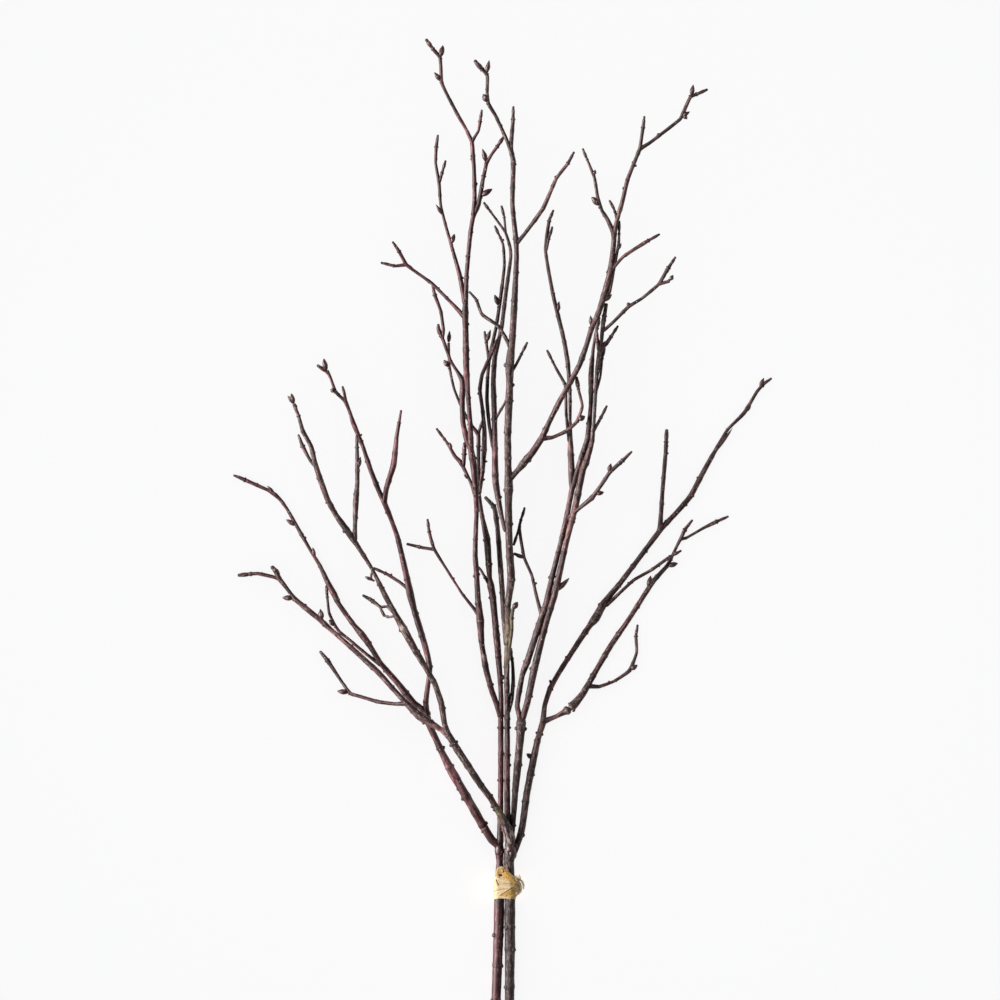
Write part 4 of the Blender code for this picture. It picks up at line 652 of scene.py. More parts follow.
def makeBark(name, look):
    material, tree, shader = startMaterial(name)
    place = painted(tree, "barkPlace", "Vector")
    tone = painted(tree, "tone")
    patches = noiseAt(tree, stretched(tree, place, barkPattern["patches"]), 3.0)
    streaks = noiseAt(tree, stretched(tree, place, barkPattern["streaks"]), 5.0, 0.6, 0.3)
    mottles = noiseAt(tree, stretched(tree, place, barkPattern["mottles"]), 3.0, 0.6)
    grain = noiseAt(tree, stretched(tree, place, barkPattern["grain"]), 3.0, 0.6)
    # smooth skin: deep red-brown to maroon, with a pinkish bloom in long patches
    smooth = mixColour(tree, between(tree, patches, 0.36, 0.64), paint(look["deep"]), paint(look["skin"]))
    bloom = times(tree, between(tree, streaks, 0.48, 0.72), between(tree, patches, 0.40, 0.62))
    smooth = mixColour(tree, times(tree, bloom, look["bloomShare"]), smooth, paint(look["bloom"]))
    # rough bark: nearly black furrows between grey-brown ridges
    rough = mixColour(tree, between(tree, streaks, 0.42, 0.56), paint(look["furrow"]), paint(look["ridge"]))
    ash = times(tree, between(tree, mottles, 0.47, 0.60), between(tree, streaks, 0.44, 0.56))
    ash = times(tree, ash, between(tree, grain, 0.36, 0.56))
    rough = mixColour(tree, times(tree, ash, look["ashShare"]), rough, paint(look["ash"]))
    colour = mixColour(tree, tone, smooth, rough)
    # small pale flecks in some of the cells
    cells = addNode(tree, "ShaderNodeTexVoronoi", feature="F1")
    cells.inputs["Scale"].default_value = 1.0
    tree.links.new(stretched(tree, place, barkPattern["flecks"]), cells.inputs["Vector"])
    chosen = addNode(tree, "ShaderNodeSeparateColor")
    tree.links.new(cells.outputs["Color"], chosen.inputs[0])
    fleck = times(tree, between(tree, cells.outputs["Distance"], 0.20, 0.10),
                  between(tree, chosen.outputs[0], 0.55, 0.6))
    colour = mixColour(tree, times(tree, fleck, look["fleckShare"]), colour, paint(look["fleck"]))
    # scars, patches and shaded forks
    patterns = {"streaks": streaks, "grain": grain}
    for mark, pattern, low, high, share in barkPattern["marks"]:
        broken = times(tree, painted(tree, mark), between(tree, patterns[pattern], low, high))
        colour = mixColour(tree, times(tree, broken, share), colour, paint(look[mark]))
    pits = times(tree, between(tree, mottles, 0.44, 0.36), barkPattern["pits"])
    shade = mathNode(tree, "MAXIMUM", times(tree, painted(tree, "dark"), barkPattern["shade"]), pits)
    colour = mixColour(tree, shade, colour, paint(look["furrow"]))
    # the sawn end: pale wood with growth rings about a dark pith
    flat = addNode(tree, "ShaderNodeVectorMath", operation="LENGTH")
    tree.links.new(stretched(tree, place, (1.0, 1.0, 0.0)), flat.inputs[0])
    growth = mathNode(tree, "SINE", times(tree, flat.outputs["Value"], barkPattern["growth"]))
    sawn = mixColour(tree, between(tree, growth, 0.2, 1.0), paint(look["wood"]), paint(look["ring"]))
    sawn = mixColour(tree, between(tree, flat.outputs["Value"], *barkPattern["pith"]), sawn,
                     paint(look["deep"]))
    colour = mixColour(tree, painted(tree, "sawn"), colour, sawn)
    tree.links.new(colour, shader.inputs["Base Color"])
    dull = plus(tree, times(tree, tone, barkPattern["roughTone"]), look["roughness"])
    dull = plus(tree, dull, times(tree, grain, barkPattern["roughGrain"]))
    tree.links.new(dull, shader.inputs["Roughness"])
    shader.inputs["Specular IOR Level"].default_value = barkPattern["gloss"]
    shader.inputs["Specular Tint"].default_value = barkPattern["glossTint"]
    height = plus(tree, times(tree, streaks, plus(tree, tone, 0.25)), times(tree, grain, 0.35))
    addBump(tree, shader, height, look["bump"], barkPattern["bumpReach"])
    return material


# paths of the shoots
wood = {
    "ringStep": 1.5,        # distance between rings of a tube
    "fineStep": 0.45,       # and near a scar or a tip
    "sides": 16,
    "relief": 0.42,         # depth of the slow unevenness
    "reliefSize": 5.5,
    "furrow": 0.26,         # depth of the lengthwise furrows on rough bark
    "furrowGrain": (0.55, 0.55, 0.10),  # how fast they change round and along a shoot
    "baseFlare": 0.32,      # how much wider a shoot is where it leaves its parent
    "baseFlareLength": 3.2,
    "scarSwell": 0.34,      # height of a ring scar
    "scarWidth": 0.75,
    "bendEase": 0.5,        # 1 for soft bends, less for sharper ones at the nodes
    "thinnest": 2.15,
    "sawnDome": 0.3,        # how far the middle of a sawn end stands out
    "tipScar": 11.5,        # distance from a tip to the scar of its last bud
    "leafGap": (19.0, 34.0),  # distance between leaf scars
    "leafSwell": 0.11,
    "leafEnd": 14.0,         # and the length at a shoot's tip that has none
    "tiePlace": 156.0, "tieReach": 20.0,  # no leaf scars on the stems under the tie
    "slowSwell": 0.07, "slowLength": 9.0,  # how much and how slowly the thickness wanders
    "grainShift": 331.0,     # keeps one shoot's grain from repeating on the next
    # darkness and reach of the shaded places, and the darkness of the dusky patches
    "shade": {"leaf": (0.55, 1.8), "tipScar": (0.7, 1.0), "scar": (0.35, 2.6),
              "fork": (0.6, 4.0), "tip": (0.5, 9.0), "dusky": 0.9},
}


outgrowths = {
    "tipBud": 9.4,           # length of the small bud at the end of a shoot
    "tipBudWidth": 1.22,     # its width against the shoot's
    "budSeat": 0.55,         # how deep a bud's foot sits, against the shoot's thickness
    "scarShare": 0.27,       # half width of a leaf scar against the shoot's thickness
    "lean": 0.6,             # how far scars and knobs lean towards the tip
    "lenticelDensity": 9000.0,  # on a square metre of bark
    "lenticelWidth": 0.34, "lenticelLength": 0.62, "lenticelHeight": 0.20,
    "lenticelLeast": 0.5, "lenticelMost": 1.35,  # the range of their sizes
    "knobSeat": 0.82,        # where a knob sits, against the half thickness
    # the swollen seat below a bud: how far back and out it sits, its lean, and its size against the bud's
    "cushion": {"back": 0.35, "out": 0.8, "lean": 0.4, "girth": 0.36, "reach": 0.34},
    # where a leaf scar sits and how far round it strays, its least half width and its reach
    "leaf": {"seat": 0.43, "stray": 0.9, "least": 0.55, "reach": 0.9},
    # the pair of scars below a tip
    "pair": {"seat": 0.42, "share": 0.24, "least": 0.6, "reach": 1.1, "lean": 0.8},
    "mottle": 900.0, "grain": 3200.0,  # fineness of the skin, per metre
    "rimShare": 0.3,         # how pale the edges of the scales are
    "bump": 0.6, "bumpReach": 0.2,
}


def smoothPath(knots, marks, where):
    # values at the places where, on a smooth curve through the knots at the marks
    last = len(knots) - 1
    slopes = []
    for index in range(len(knots)):
        low = max(index - 1, 0)
        high = min(index + 1, last)
        slopes.append((knots[high] - knots[low]) / (marks[high] - marks[low]) * wood["bendEase"])
    result = []
    span = 0
    for place in where:
        while span < last - 1 and place > marks[span + 1]:
            span += 1
        length = marks[span + 1] - marks[span]
        t = (place - marks[span]) / length
        result.append(
            knots[span] * (2 * t**3 - 3 * t**2 + 1)
            + knots[span + 1] * (3 * t**2 - 2 * t**3)
            + slopes[span] * length * (t**3 - 2 * t**2 + t)
            + slopes[span + 1] * length * (t**3 - t**2))
    return result


def marksAlong(points):
    marks = [0.0]
    for before, after in zip(points, points[1:]):
        marks.append(marks[-1] + (after - before).length)
    return marks


def nearestOn(path, x, y):
    # index of the path point nearest to x, y as seen from above
    return min(range(len(path)), key=lambda k: (path[k].x - x) ** 2 + (path[k].y - y) ** 2)


class Shoot:
    # one grown shoot: where its centre line runs and what it looks like along the way
    def __init__(self, name, tone, knots, number):
        self.name = name
        self.tone = tone
        self.number = number
        self.knots = [Vector(knot) for knot in knots]
        self.marks = marksAlong(self.knots)
        self.length = self.marks[-1]
        coarse = max(2, round(self.length / 2.0))
        self.coarseMarks = [self.length * k / coarse for k in range(coarse + 1)]
        self.coarse = smoothPath(self.knots, self.marks, self.coarseMarks)
        self.scars = []
        self.tipScars = []
        self.leafScars = []

    def markNear(self, x, y):
        return self.coarseMarks[nearestOn(self.coarse, x, y)]

    def at(self, mark):
        return smoothPath(self.knots, self.marks, [min(max(mark, 0.0), self.length)])[0]

    def direction(self, mark):
        ahead = self.at(mark + 0.5) - self.at(mark - 0.5)
        return Vector((ahead.x, ahead.y, ahead.z)).normalized()


def growShoots(branch):
    # every shoot of a branch by name: a shoot leaves its parent's pith, rises and levels out
    shoots = {"stem": Shoot("stem", branch["stemTone"], branch["stem"], 0)}
    for name, parent, tipHeight, tone, points in branch["shoots"]:
        coarse = shoots[parent].coarse
        root = coarse[nearestOn(coarse, points[0][0], points[0][1])]
        flat = [Vector((x, y, thickness)) for x, y, thickness in points]
        if math.hypot(root.x - flat[0].x, root.y - flat[0].y) > 0.6:
            flat.insert(0, Vector((root.x, root.y, flat[0].z)))
        marks = marksAlong(flat)
        knots = []
        for point, mark in zip(flat, marks):
            rise = math.sin(math.pi / 2 * mark / marks[-1])
            knots.append((point.x, point.y, root.z + (tipHeight - root.z) * rise, point.z))
        shoots[name] = Shoot(name, tone, knots, len(shoots))
    return shoots


def placeScars(branch, shoots):
    for name, x, y in branch["scars"]:
        shoots[name].scars.append(shoots[name].markNear(x, y))
    for shoot in shoots.values():
        if shoot.name != "stem" and shoot.length > 3 * wood["tipScar"] / 2:
            shoot.tipScars.append(shoot.length - wood["tipScar"])


def ringPlaces(shoot):
    # places of the tube's rings: even ones, with more of them at scars and at the tip
    places = {0.0, shoot.length}
    steps = max(2, round(shoot.length / wood["ringStep"]))
    places.update(shoot.length * k / steps for k in range(steps))
    for scar in shoot.scars + shoot.tipScars:
        places.update(scar + wood["fineStep"] * k for k in range(-4, 5))
    tip = shoot.at(shoot.length)[3] / 2
    places.update(shoot.length - tip * (1 - math.sin(math.pi / 2 * k / 5)) for k in range(6))
    kept = []
    if shoot.name == "stem":
        kept = [wood["sawnDome"] * share for share in (0.0, 0.04, 0.16, 0.36, 0.64, 0.9, 0.98, 1.0)]
    for place in sorted(places):
        if 0.0 <= place <= shoot.length and (not kept or place - kept[-1] > 0.12):
            kept.append(place)
    kept[-1] = shoot.length
    return kept


def thicknessAt(shoot, place, plain):
    # the plain thickness with the base flare, leaf and ring scars, and the rounded tip
    wide = plain = max(plain, wood["thinnest"])
    if shoot.name != "stem":
        wide *= 1 + wood["baseFlare"] * math.exp(-place / wood["baseFlareLength"])
    slow = noise.noise(Vector((place / wood["slowLength"], shoot.number * 7.3, 0.0)))
    wide *= 1 + wood["slowSwell"] * slow
    for leaf in shoot.leafScars:
        wide *= 1 + wood["leafSwell"] * math.exp(-((place - leaf) / 1.5) ** 2)
    for scar in shoot.scars + shoot.tipScars:
        offset = (place - scar) / wood["scarWidth"]
        wide += wood["scarSwell"] * math.exp(-offset**2) * (1 + 0.25 * math.cos(offset * 9.0))
    left = shoot.length - place
    tip = plain / 2
    if shoot.name != "stem" and left < tip:
        wide *= math.sqrt(max(1 - (1 - left / tip) ** 2, 0.02))
    if shoot.name == "stem" and place < wood["sawnDome"]:
        wide *= max(math.sqrt(place / wood["sawnDome"]), 0.02)
    return wide


def nearAny(marks, place, reach):
    return max((math.exp(-((place - mark) / reach) ** 2) for mark in marks), default=0.0)


def patchAt(patches, name, point):
    # how strongly the named shoot's patches colour it at a point
    return max((math.exp(-((point.x - x) ** 2 + (point.y - y) ** 2) / reach**2)
                for shoot, x, y, reach in patches if shoot == name), default=0.0)


def shadeAt(branch, shoot, place, point):
    # how dark the bark is: at scars, in forks, near tips and in the dusky patches
    shades = wood["shade"]
    shade = shades["dusky"] * patchAt(branch["dusky"], shoot.name, point)
    for kind, marks in (("leaf", shoot.leafScars), ("tipScar", shoot.tipScars), ("scar", shoot.scars)):
        share, reach = shades[kind]
        shade += share * nearAny(marks, place, reach)
    if shoot.name != "stem":
        for kind, away in (("fork", place), ("tip", shoot.length - place)):
            share, reach = shades[kind]
            shade += share * math.exp(-away / reach)
    return min(1.0, shade)


def makeLines(branch, shoots):
    # the centre lines as a mesh of edges, with what the bark needs to know at each point
    chance = random.Random(branch["seed"])
    columns = {name: [] for name in (
        "thickness", "along", "tone", "scar", "pale", "olive", "rosy", "dark", "sawn")}
    places = []
    edges = []
    for shoot in shoots.values():
        mark = chance.uniform(*wood["leafGap"])
        while mark < shoot.length - wood["leafEnd"]:
            if shoot.name != "stem" or abs(mark - wood["tiePlace"]) > wood["tieReach"]:
                shoot.leafScars.append(mark)
            mark += chance.uniform(*wood["leafGap"])
        rings = ringPlaces(shoot)
        first = len(places)
        for place, point in zip(rings, smoothPath(shoot.knots, shoot.marks, rings)):
            places.append(Vector((point.x, point.y, point.z)) * mm)
            columns["thickness"].append(thicknessAt(shoot, place, point[3]))
            columns["along"].append(place + shoot.number * wood["grainShift"])
            columns["tone"].append(shoot.tone)
            columns["scar"].append(nearAny(shoot.scars, place, 0.8))
            columns["sawn"].append(float(shoot.name == "stem" and place < wood["sawnDome"] * 0.95))
            columns["dark"].append(shadeAt(branch, shoot, place, point))
            for kind in ("pale", "olive", "rosy"):
                columns[kind].append(patchAt(branch[kind], shoot.name, point))
        edges.extend((k, k + 1) for k in range(first, len(places) - 1))
    lines = bpy.data.meshes.new(branch["name"] + "Lines")
    lines.from_pydata(places, edges, [])
    for name, values in columns.items():
        lines.attributes.new(name, "FLOAT", "POINT").data.foreach_set("value", values)
    return lines


# bark geometry
def makeBarkTree():
    tree, inputs, outputs = startTree("barkAlongShoots", {
        "Sides": "NodeSocketInt", "Relief Depth": "NodeSocketFloat", "Relief Size": "NodeSocketFloat",
        "Furrow Depth": "NodeSocketFloat", "Bark": "NodeSocketMaterial"})
    link = tree.links.new
    toCurve = addNode(tree, "GeometryNodeMeshToCurve")
    link(inputs.outputs["Geometry"], toCurve.inputs["Mesh"])
    run = addNode(tree, "GeometryNodeInputTangent")
    shoots = storeAttribute(tree, toCurve.outputs["Curve"], "run", run.outputs[0], "FLOAT_VECTOR")
    circle = addNode(tree, "GeometryNodeCurvePrimitiveCircle")
    circle.inputs["Radius"].default_value = 1.0
    link(inputs.outputs["Sides"], circle.inputs["Resolution"])
    around = addNode(tree, "GeometryNodeSplineParameter")
    profile = storeAttribute(tree, circle.outputs["Curve"], "turn", around.outputs["Factor"])
    sweep = addNode(tree, "GeometryNodeCurveToMesh")
    sweep.inputs["Fill Caps"].default_value = True
    link(shoots, sweep.inputs["Curve"])
    link(profile, sweep.inputs["Profile Curve"])
    radius = times(tree, readAttribute(tree, "thickness"), 0.5)
    link(times(tree, radius, mm), sweep.inputs["Scale"])
    # where a point is on the bark: round the shoot in x and y and along it in z, in millimetres
    angle = times(tree, readAttribute(tree, "turn"), 2 * math.pi)
    place = addNode(tree, "ShaderNodeCombineXYZ")
    link(times(tree, mathNode(tree, "COSINE", angle), radius), place.inputs["X"])
    link(times(tree, mathNode(tree, "SINE", angle), radius), place.inputs["Y"])
    link(readAttribute(tree, "along"), place.inputs["Z"])
    mesh = storeAttribute(tree, sweep.outputs["Mesh"], "barkPlace", place.outputs[0], "FLOAT_VECTOR")
    # slow unevenness all over, and furrows that run lengthwise on the rough bark
    lumps = addNode(tree, "ShaderNodeTexNoise", noise_dimensions="3D")
    lumps.inputs["Detail"].default_value = 2.0
    stored = readAttribute(tree, "barkPlace", "FLOAT_VECTOR")
    link(stored, lumps.inputs["Vector"])
    link(mathNode(tree, "DIVIDE", 1.0, inputs.outputs["Relief Size"]), lumps.inputs["Scale"])
    furrows = noiseAt(tree, stretched(tree, stored, wood["furrowGrain"]), 2.0, 0.5)
    slow = times(tree, mathNode(tree, "SUBTRACT", lumps.outputs["Fac"], 0.5),
                 inputs.outputs["Relief Depth"])
    fine = times(tree, mathNode(tree, "SUBTRACT", furrows, 0.5), inputs.outputs["Furrow Depth"])
    fine = times(tree, fine, readAttribute(tree, "tone"))
    share = mathNode(tree, "MINIMUM", times(tree, readAttribute(tree, "thickness"), 0.2), 1.0)
    depth = times(tree, plus(tree, slow, fine), share)
    normal = addNode(tree, "GeometryNodeInputNormal")
    push = addNode(tree, "ShaderNodeVectorMath", operation="SCALE")
    link(normal.outputs[0], push.inputs[0])
    link(times(tree, depth, mm), push.inputs["Scale"])
    uneven = addNode(tree, "GeometryNodeSetPosition")
    link(mesh, uneven.inputs["Geometry"])
    link(push.outputs[0], uneven.inputs["Offset"])
    finishTree(tree, uneven.outputs[0], inputs.outputs["Bark"], outputs)
    return tree


def makeWood(branch, shoots, barkTree, bark):
    piece = runTree(branch["name"] + "Wood", makeLines(branch, shoots), barkTree, {
        "Sides": wood["sides"], "Relief Depth": wood["relief"], "Relief Size": wood["reliefSize"],
        "Furrow Depth": wood["furrow"], "Bark": bark})
    print(piece.name, len(piece.data.polygons), "faces")
    return piece


# buds, scars and lenticels
def revolve(profile, sides, wobble=0.0):
    # a closed round shape from (radius, height) pairs that starts and ends on the axis
    points = [Vector((0.0, 0.0, profile[0][1]))]
    for radius, height in profile[1:-1]:
        for k in range(sides):
            turn = 2 * math.pi * k / sides
            wide = radius * (1 + wobble * math.sin(3 * turn + 7 * height))
            points.append(Vector((wide * math.cos(turn), wide * math.sin(turn), height)))
    points.append(Vector((0.0, 0.0, profile[-1][1])))
    faces = []
    rings = len(profile) - 2
    for k in range(sides):
        after = (k + 1) % sides
        faces.append((0, 1 + after, 1 + k))
        for ring in range(rings - 1):
            low = 1 + ring * sides
            faces.append((low + k, low + after, low + sides + after, low + sides + k))
        top = 1 + (rings - 1) * sides
        faces.append((len(points) - 1, top + k, top + after))
    return points, faces, [0.0] * len(points)


def radiusOf(profile, height):
    for (radius, low), (wider, high) in zip(profile, profile[1:]):
        if high >= height > low:
            return radius + (wider - radius) * (height - low) / (high - low)
    return 0.0


def addScale(shape, profile, turn, low, high, spread):
    # one closed scale that hugs the bud from low to high and stands off a little at its rim
    points, faces, edges = shape
    rows, columns = 5, 6
    first = len(points)
    for lift in (0.055, -0.04):
        for row in range(rows + 1):
            share = row / rows
            height = low + (high - low) * share
            wide = spread * math.sqrt(max(1 - share**2.4, 0.006))
            for column in range(columns + 1):
                across = column / columns * 2 - 1
                angle = turn + across * wide
                radius = radiusOf(profile, height) + lift * (1 + 0.5 * share) * (1 - 0.25 * across**2)
                points.append(Vector((radius * math.cos(angle), radius * math.sin(angle), height)))
                edges.append(max(abs(across), share) ** 5)
    sheet = (rows + 1) * (columns + 1)
    rim = list(range(columns + 1))
    rim += [row * (columns + 1) + columns for row in range(1, rows + 1)]
    rim += [rows * (columns + 1) + k for k in range(columns - 1, -1, -1)]
    rim += [row * (columns + 1) for row in range(rows - 1, 0, -1)]
    for row in range(rows):
        for column in range(columns):
            k = first + row * (columns + 1) + column
            faces.append((k, k + 1, k + columns + 2, k + columns + 1))
            faces.append(tuple(sheet + j for j in (k, k + columns + 1, k + columns + 2, k + 1)))
    for k, after in zip(rim, rim[1:] + rim[:1]):
        faces.append((first + after, first + k, first + sheet + k, first + sheet + after))


def makeShape(name, shape):
    points, faces, edges = shape
    mesh = bpy.data.meshes.new(name)
    mesh.from_pydata(points, [], faces)
    sheet = bmesh.new()
    sheet.from_mesh(mesh)
    bmesh.ops.recalc_face_normals(sheet, faces=sheet.faces)
    sheet.to_mesh(mesh)
    sheet.free()
    mesh.attributes.new("edge", "FLOAT", "POINT").data.foreach_set("value", edges)
    return bpy.data.objects.new(name, mesh)


def makeShapes(name, shapes):
    # the shapes that one tree picks from, in the order of their names
    group = bpy.data.collections.new(name)
    for index, shape in enumerate(shapes):
        group.objects.link(makeShape(f"{name}{index}", shape))
    return group


def budShapes():
    # kinds: 0 plump, 1 slender, 2 blunt
    outlines = [
        [(0, 0), (0.2, 0.02), (0.3, 0.1), (0.45, 0.24), (0.55, 0.4), (0.51, 0.57), (0.36, 0.75),
         (0.18, 0.9), (0.06, 0.98), (0, 1)],
        [(0, 0), (0.2, 0.02), (0.3, 0.1), (0.45, 0.26), (0.5, 0.44), (0.42, 0.62), (0.28, 0.79),
         (0.13, 0.92), (0.05, 0.98), (0, 1)],
        [(0, 0), (0.34, 0.02), (0.44, 0.12), (0.5, 0.3), (0.48, 0.52), (0.42, 0.7), (0.32, 0.84),
         (0.18, 0.94), (0.07, 0.99), (0, 1)],
    ]
    scales = [(0.0, 0.04, 0.5, 1.25), (2.3, 0.05, 0.6, 1.15), (4.4, 0.1, 0.72, 1.1), (1.1, 0.3, 0.86, 0.95),
              (3.5, 0.4, 0.95, 0.9)]
    shapes = []
    for outline in outlines:
        shape = revolve(outline, 12)
        for scale in scales:
            addScale(shape, outline, *scale)
        shapes.append(shape)
    return shapes


def nubShapes():
    # kinds: 0 leaf scar with a hollow face, 1 knob, 2 broken stub
    return [
        revolve([(0, -0.6), (1.05, -0.5), (1.08, 0.05), (0.95, 0.42), (0.7, 0.62), (0.5, 0.52),
                 (0, 0.45)], 12, 0.08),
        revolve([(0, -0.6), (0.85, -0.5), (1.0, 0.1), (0.92, 0.55), (0.62, 0.9), (0.28, 1.05),
                 (0, 1.08)], 12, 0.10),
        revolve([(0, -0.6), (0.8, -0.5), (0.82, 0.3), (0.62, 0.75), (0.7, 1.1), (0.52, 1.4), (0.3, 1.28),
                 (0, 1.15)], 12, 0.14),
    ]


def makeSeatTree():
    # a chosen shape at every point, turned to its aim and sized by its girth and reach
    tree, inputs, outputs = startTree("shapesOnPoints", {
        "Shapes": "NodeSocketCollection", "Skin": "NodeSocketMaterial"})
    link = tree.links.new
    shapes = addNode(tree, "GeometryNodeCollectionInfo")
    shapes.inputs["Separate Children"].default_value = True
    shapes.inputs["Reset Children"].default_value = True
    link(inputs.outputs["Shapes"], shapes.inputs["Collection"])
    roll = addNode(tree, "FunctionNodeAxisAngleToRotation")
    roll.inputs["Axis"].default_value = (0.0, 0.0, 1.0)
    link(readAttribute(tree, "roll"), roll.inputs["Angle"])
    turn = addNode(tree, "FunctionNodeAlignRotationToVector", axis="Z")
    link(readAttribute(tree, "aim", "FLOAT_VECTOR"), turn.inputs["Vector"])
    both = addNode(tree, "FunctionNodeRotateRotation", rotation_space="LOCAL")
    link(turn.outputs[0], both.inputs["Rotation"])
    link(roll.outputs[0], both.inputs["Rotate By"])
    size = addNode(tree, "ShaderNodeCombineXYZ")
    link(readAttribute(tree, "girth"), size.inputs["X"])
    link(readAttribute(tree, "girth"), size.inputs["Y"])
    link(readAttribute(tree, "reach"), size.inputs["Z"])
    seat = addNode(tree, "GeometryNodeInstanceOnPoints")
    seat.inputs["Pick Instance"].default_value = True
    link(inputs.outputs["Geometry"], seat.inputs["Points"])
    link(shapes.outputs[0], seat.inputs["Instance"])
    link(readAttribute(tree, "kind", "INT"), seat.inputs["Instance Index"])
    link(both.outputs[0], seat.inputs["Rotation"])
    link(size.outputs[0], seat.inputs["Scale"])
    finishTree(tree, seat.outputs[0], inputs.outputs["Skin"], outputs)
    return tree


def makePoints(name, seats):
    # seats: place, aim, girth, reach, kind, roll, in millimetres
    mesh = bpy.data.meshes.new(name)
    mesh.from_pydata([seat[0] * mm for seat in seats], [], [])
    aims = [value for seat in seats for value in seat[1]]
    mesh.attributes.new("aim", "FLOAT_VECTOR", "POINT").data.foreach_set("vector", aims)
    for title, kind, column, scale in (("girth", "FLOAT", 2, mm), ("reach", "FLOAT", 3, mm),
                                       ("kind", "INT", 4, 1), ("roll", "FLOAT", 5, 1)):
        values = [seat[column] * scale for seat in seats]
        mesh.attributes.new(title, kind, "POINT").data.foreach_set("value", values)
    return mesh


def underPoint(shoot, x, y):
    # the pith under x, y, the way out of the bark there, the half thickness and the shoot's run
    mark = shoot.markNear(x, y)
    centre = shoot.at(mark)
    half = centre[3] / 2
    pith = Vector(centre[:3])
    away = Vector((x - pith.x, y - pith.y, 0.0))
    share = min(away.length / half, 1.0)
    out = away.normalized() * share + up * math.sqrt(1 - share**2)
    return pith, out.normalized(), half, shoot.direction(mark)


def budSeats(branch, shoots, chance):
    seats = []
    tips = []
    for name, base, tip, width in branch["buds"]:
        pith, _, half, _ = underPoint(shoots[name], *base)
        end = Vector((tip[0], tip[1], pith.z + 0.6))
        side = Vector((end.x - pith.x, end.y - pith.y, 0.0)).normalized()
        foot = pith + side * half * outgrowths["budSeat"]
        aim = end - foot
        kind = chance.choice((0, 0, 1)) if width > 3 else 1
        seats.append((foot, aim.normalized(), width, aim.length, kind, chance.uniform(0, 6.28)))
        tips.append(Vector((base[0], base[1])))
    for shoot in shoots.values():
        end = shoot.at(shoot.length)
        plain = max(end[3], wood["thinnest"])
        if shoot.name in branch["blind"]:
            continue
        if any((Vector((end[0], end[1])) - tip).length < 4.5 for tip in tips):
            continue
        run = shoot.direction(shoot.length)
        width = plain * outgrowths["tipBudWidth"]
        reach = outgrowths["tipBud"] * (0.8 + 0.12 * plain)
        foot = Vector(end[:3]) - run * reach * 0.97
        seats.append((foot, run, width, reach, chance.choice((0, 2, 2)), chance.uniform(0, 6.28)))
    return seats


def nubSeats(branch, shoots, chance):
    cushion, leaf, pair = (outgrowths[key] for key in ("cushion", "leaf", "pair"))
    seats = []
    for name, x, y, half, kind in branch["nubs"]:
        pith, out, radius, run = underPoint(shoots[name], x, y)
        aim = (out + run * outgrowths["lean"]).normalized()
        reach = half * chance.uniform(0.85, 1.15)
        place = pith + out * radius * outgrowths["knobSeat"]
        seats.append((place, aim, half, reach, kind, chance.uniform(0, 6.28)))
    for name, base, tip, width in branch["buds"]:
        pith, _, radius, run = underPoint(shoots[name], *base)
        side = Vector((tip[0] - base[0], tip[1] - base[1], 0.0)).normalized()
        place = pith - run * width * cushion["back"] + side * radius * cushion["out"]
        aim = (side + run * cushion["lean"]).normalized()
        seats.append((place, aim, width * cushion["girth"], width * cushion["reach"], 0,
                      chance.uniform(0, 6.28)))
    for shoot in shoots.values():
        for index, mark in enumerate(shoot.leafScars):
            centre = shoot.at(mark)
            run = shoot.direction(mark)
            side = run.cross(up).normalized()
            turn = math.pi * index + chance.uniform(-leaf["stray"], leaf["stray"])
            out = side * math.cos(turn) + side.cross(run).normalized() * math.sin(turn)
            half = max(centre[3] * outgrowths["scarShare"], leaf["least"])
            place = Vector(centre[:3]) + out * centre[3] * leaf["seat"]
            aim = (out + run * outgrowths["lean"]).normalized()
            seats.append((place, aim, half, half * leaf["reach"], chance.choice((0, 0, 1)),
                          chance.uniform(0, 6.28)))
        for mark in shoot.tipScars:
            centre = shoot.at(mark)
            run = shoot.direction(mark)
            for side in (run.cross(up).normalized(), up.cross(run).normalized()):
                half = max(centre[3] * pair["share"], pair["least"])
                place = Vector(centre[:3]) + side * centre[3] * pair["seat"]
                aim = (side + run * pair["lean"]).normalized()
                seats.append((place, aim, half, half * pair["reach"], 1, chance.uniform(0, 6.28)))
    return seats


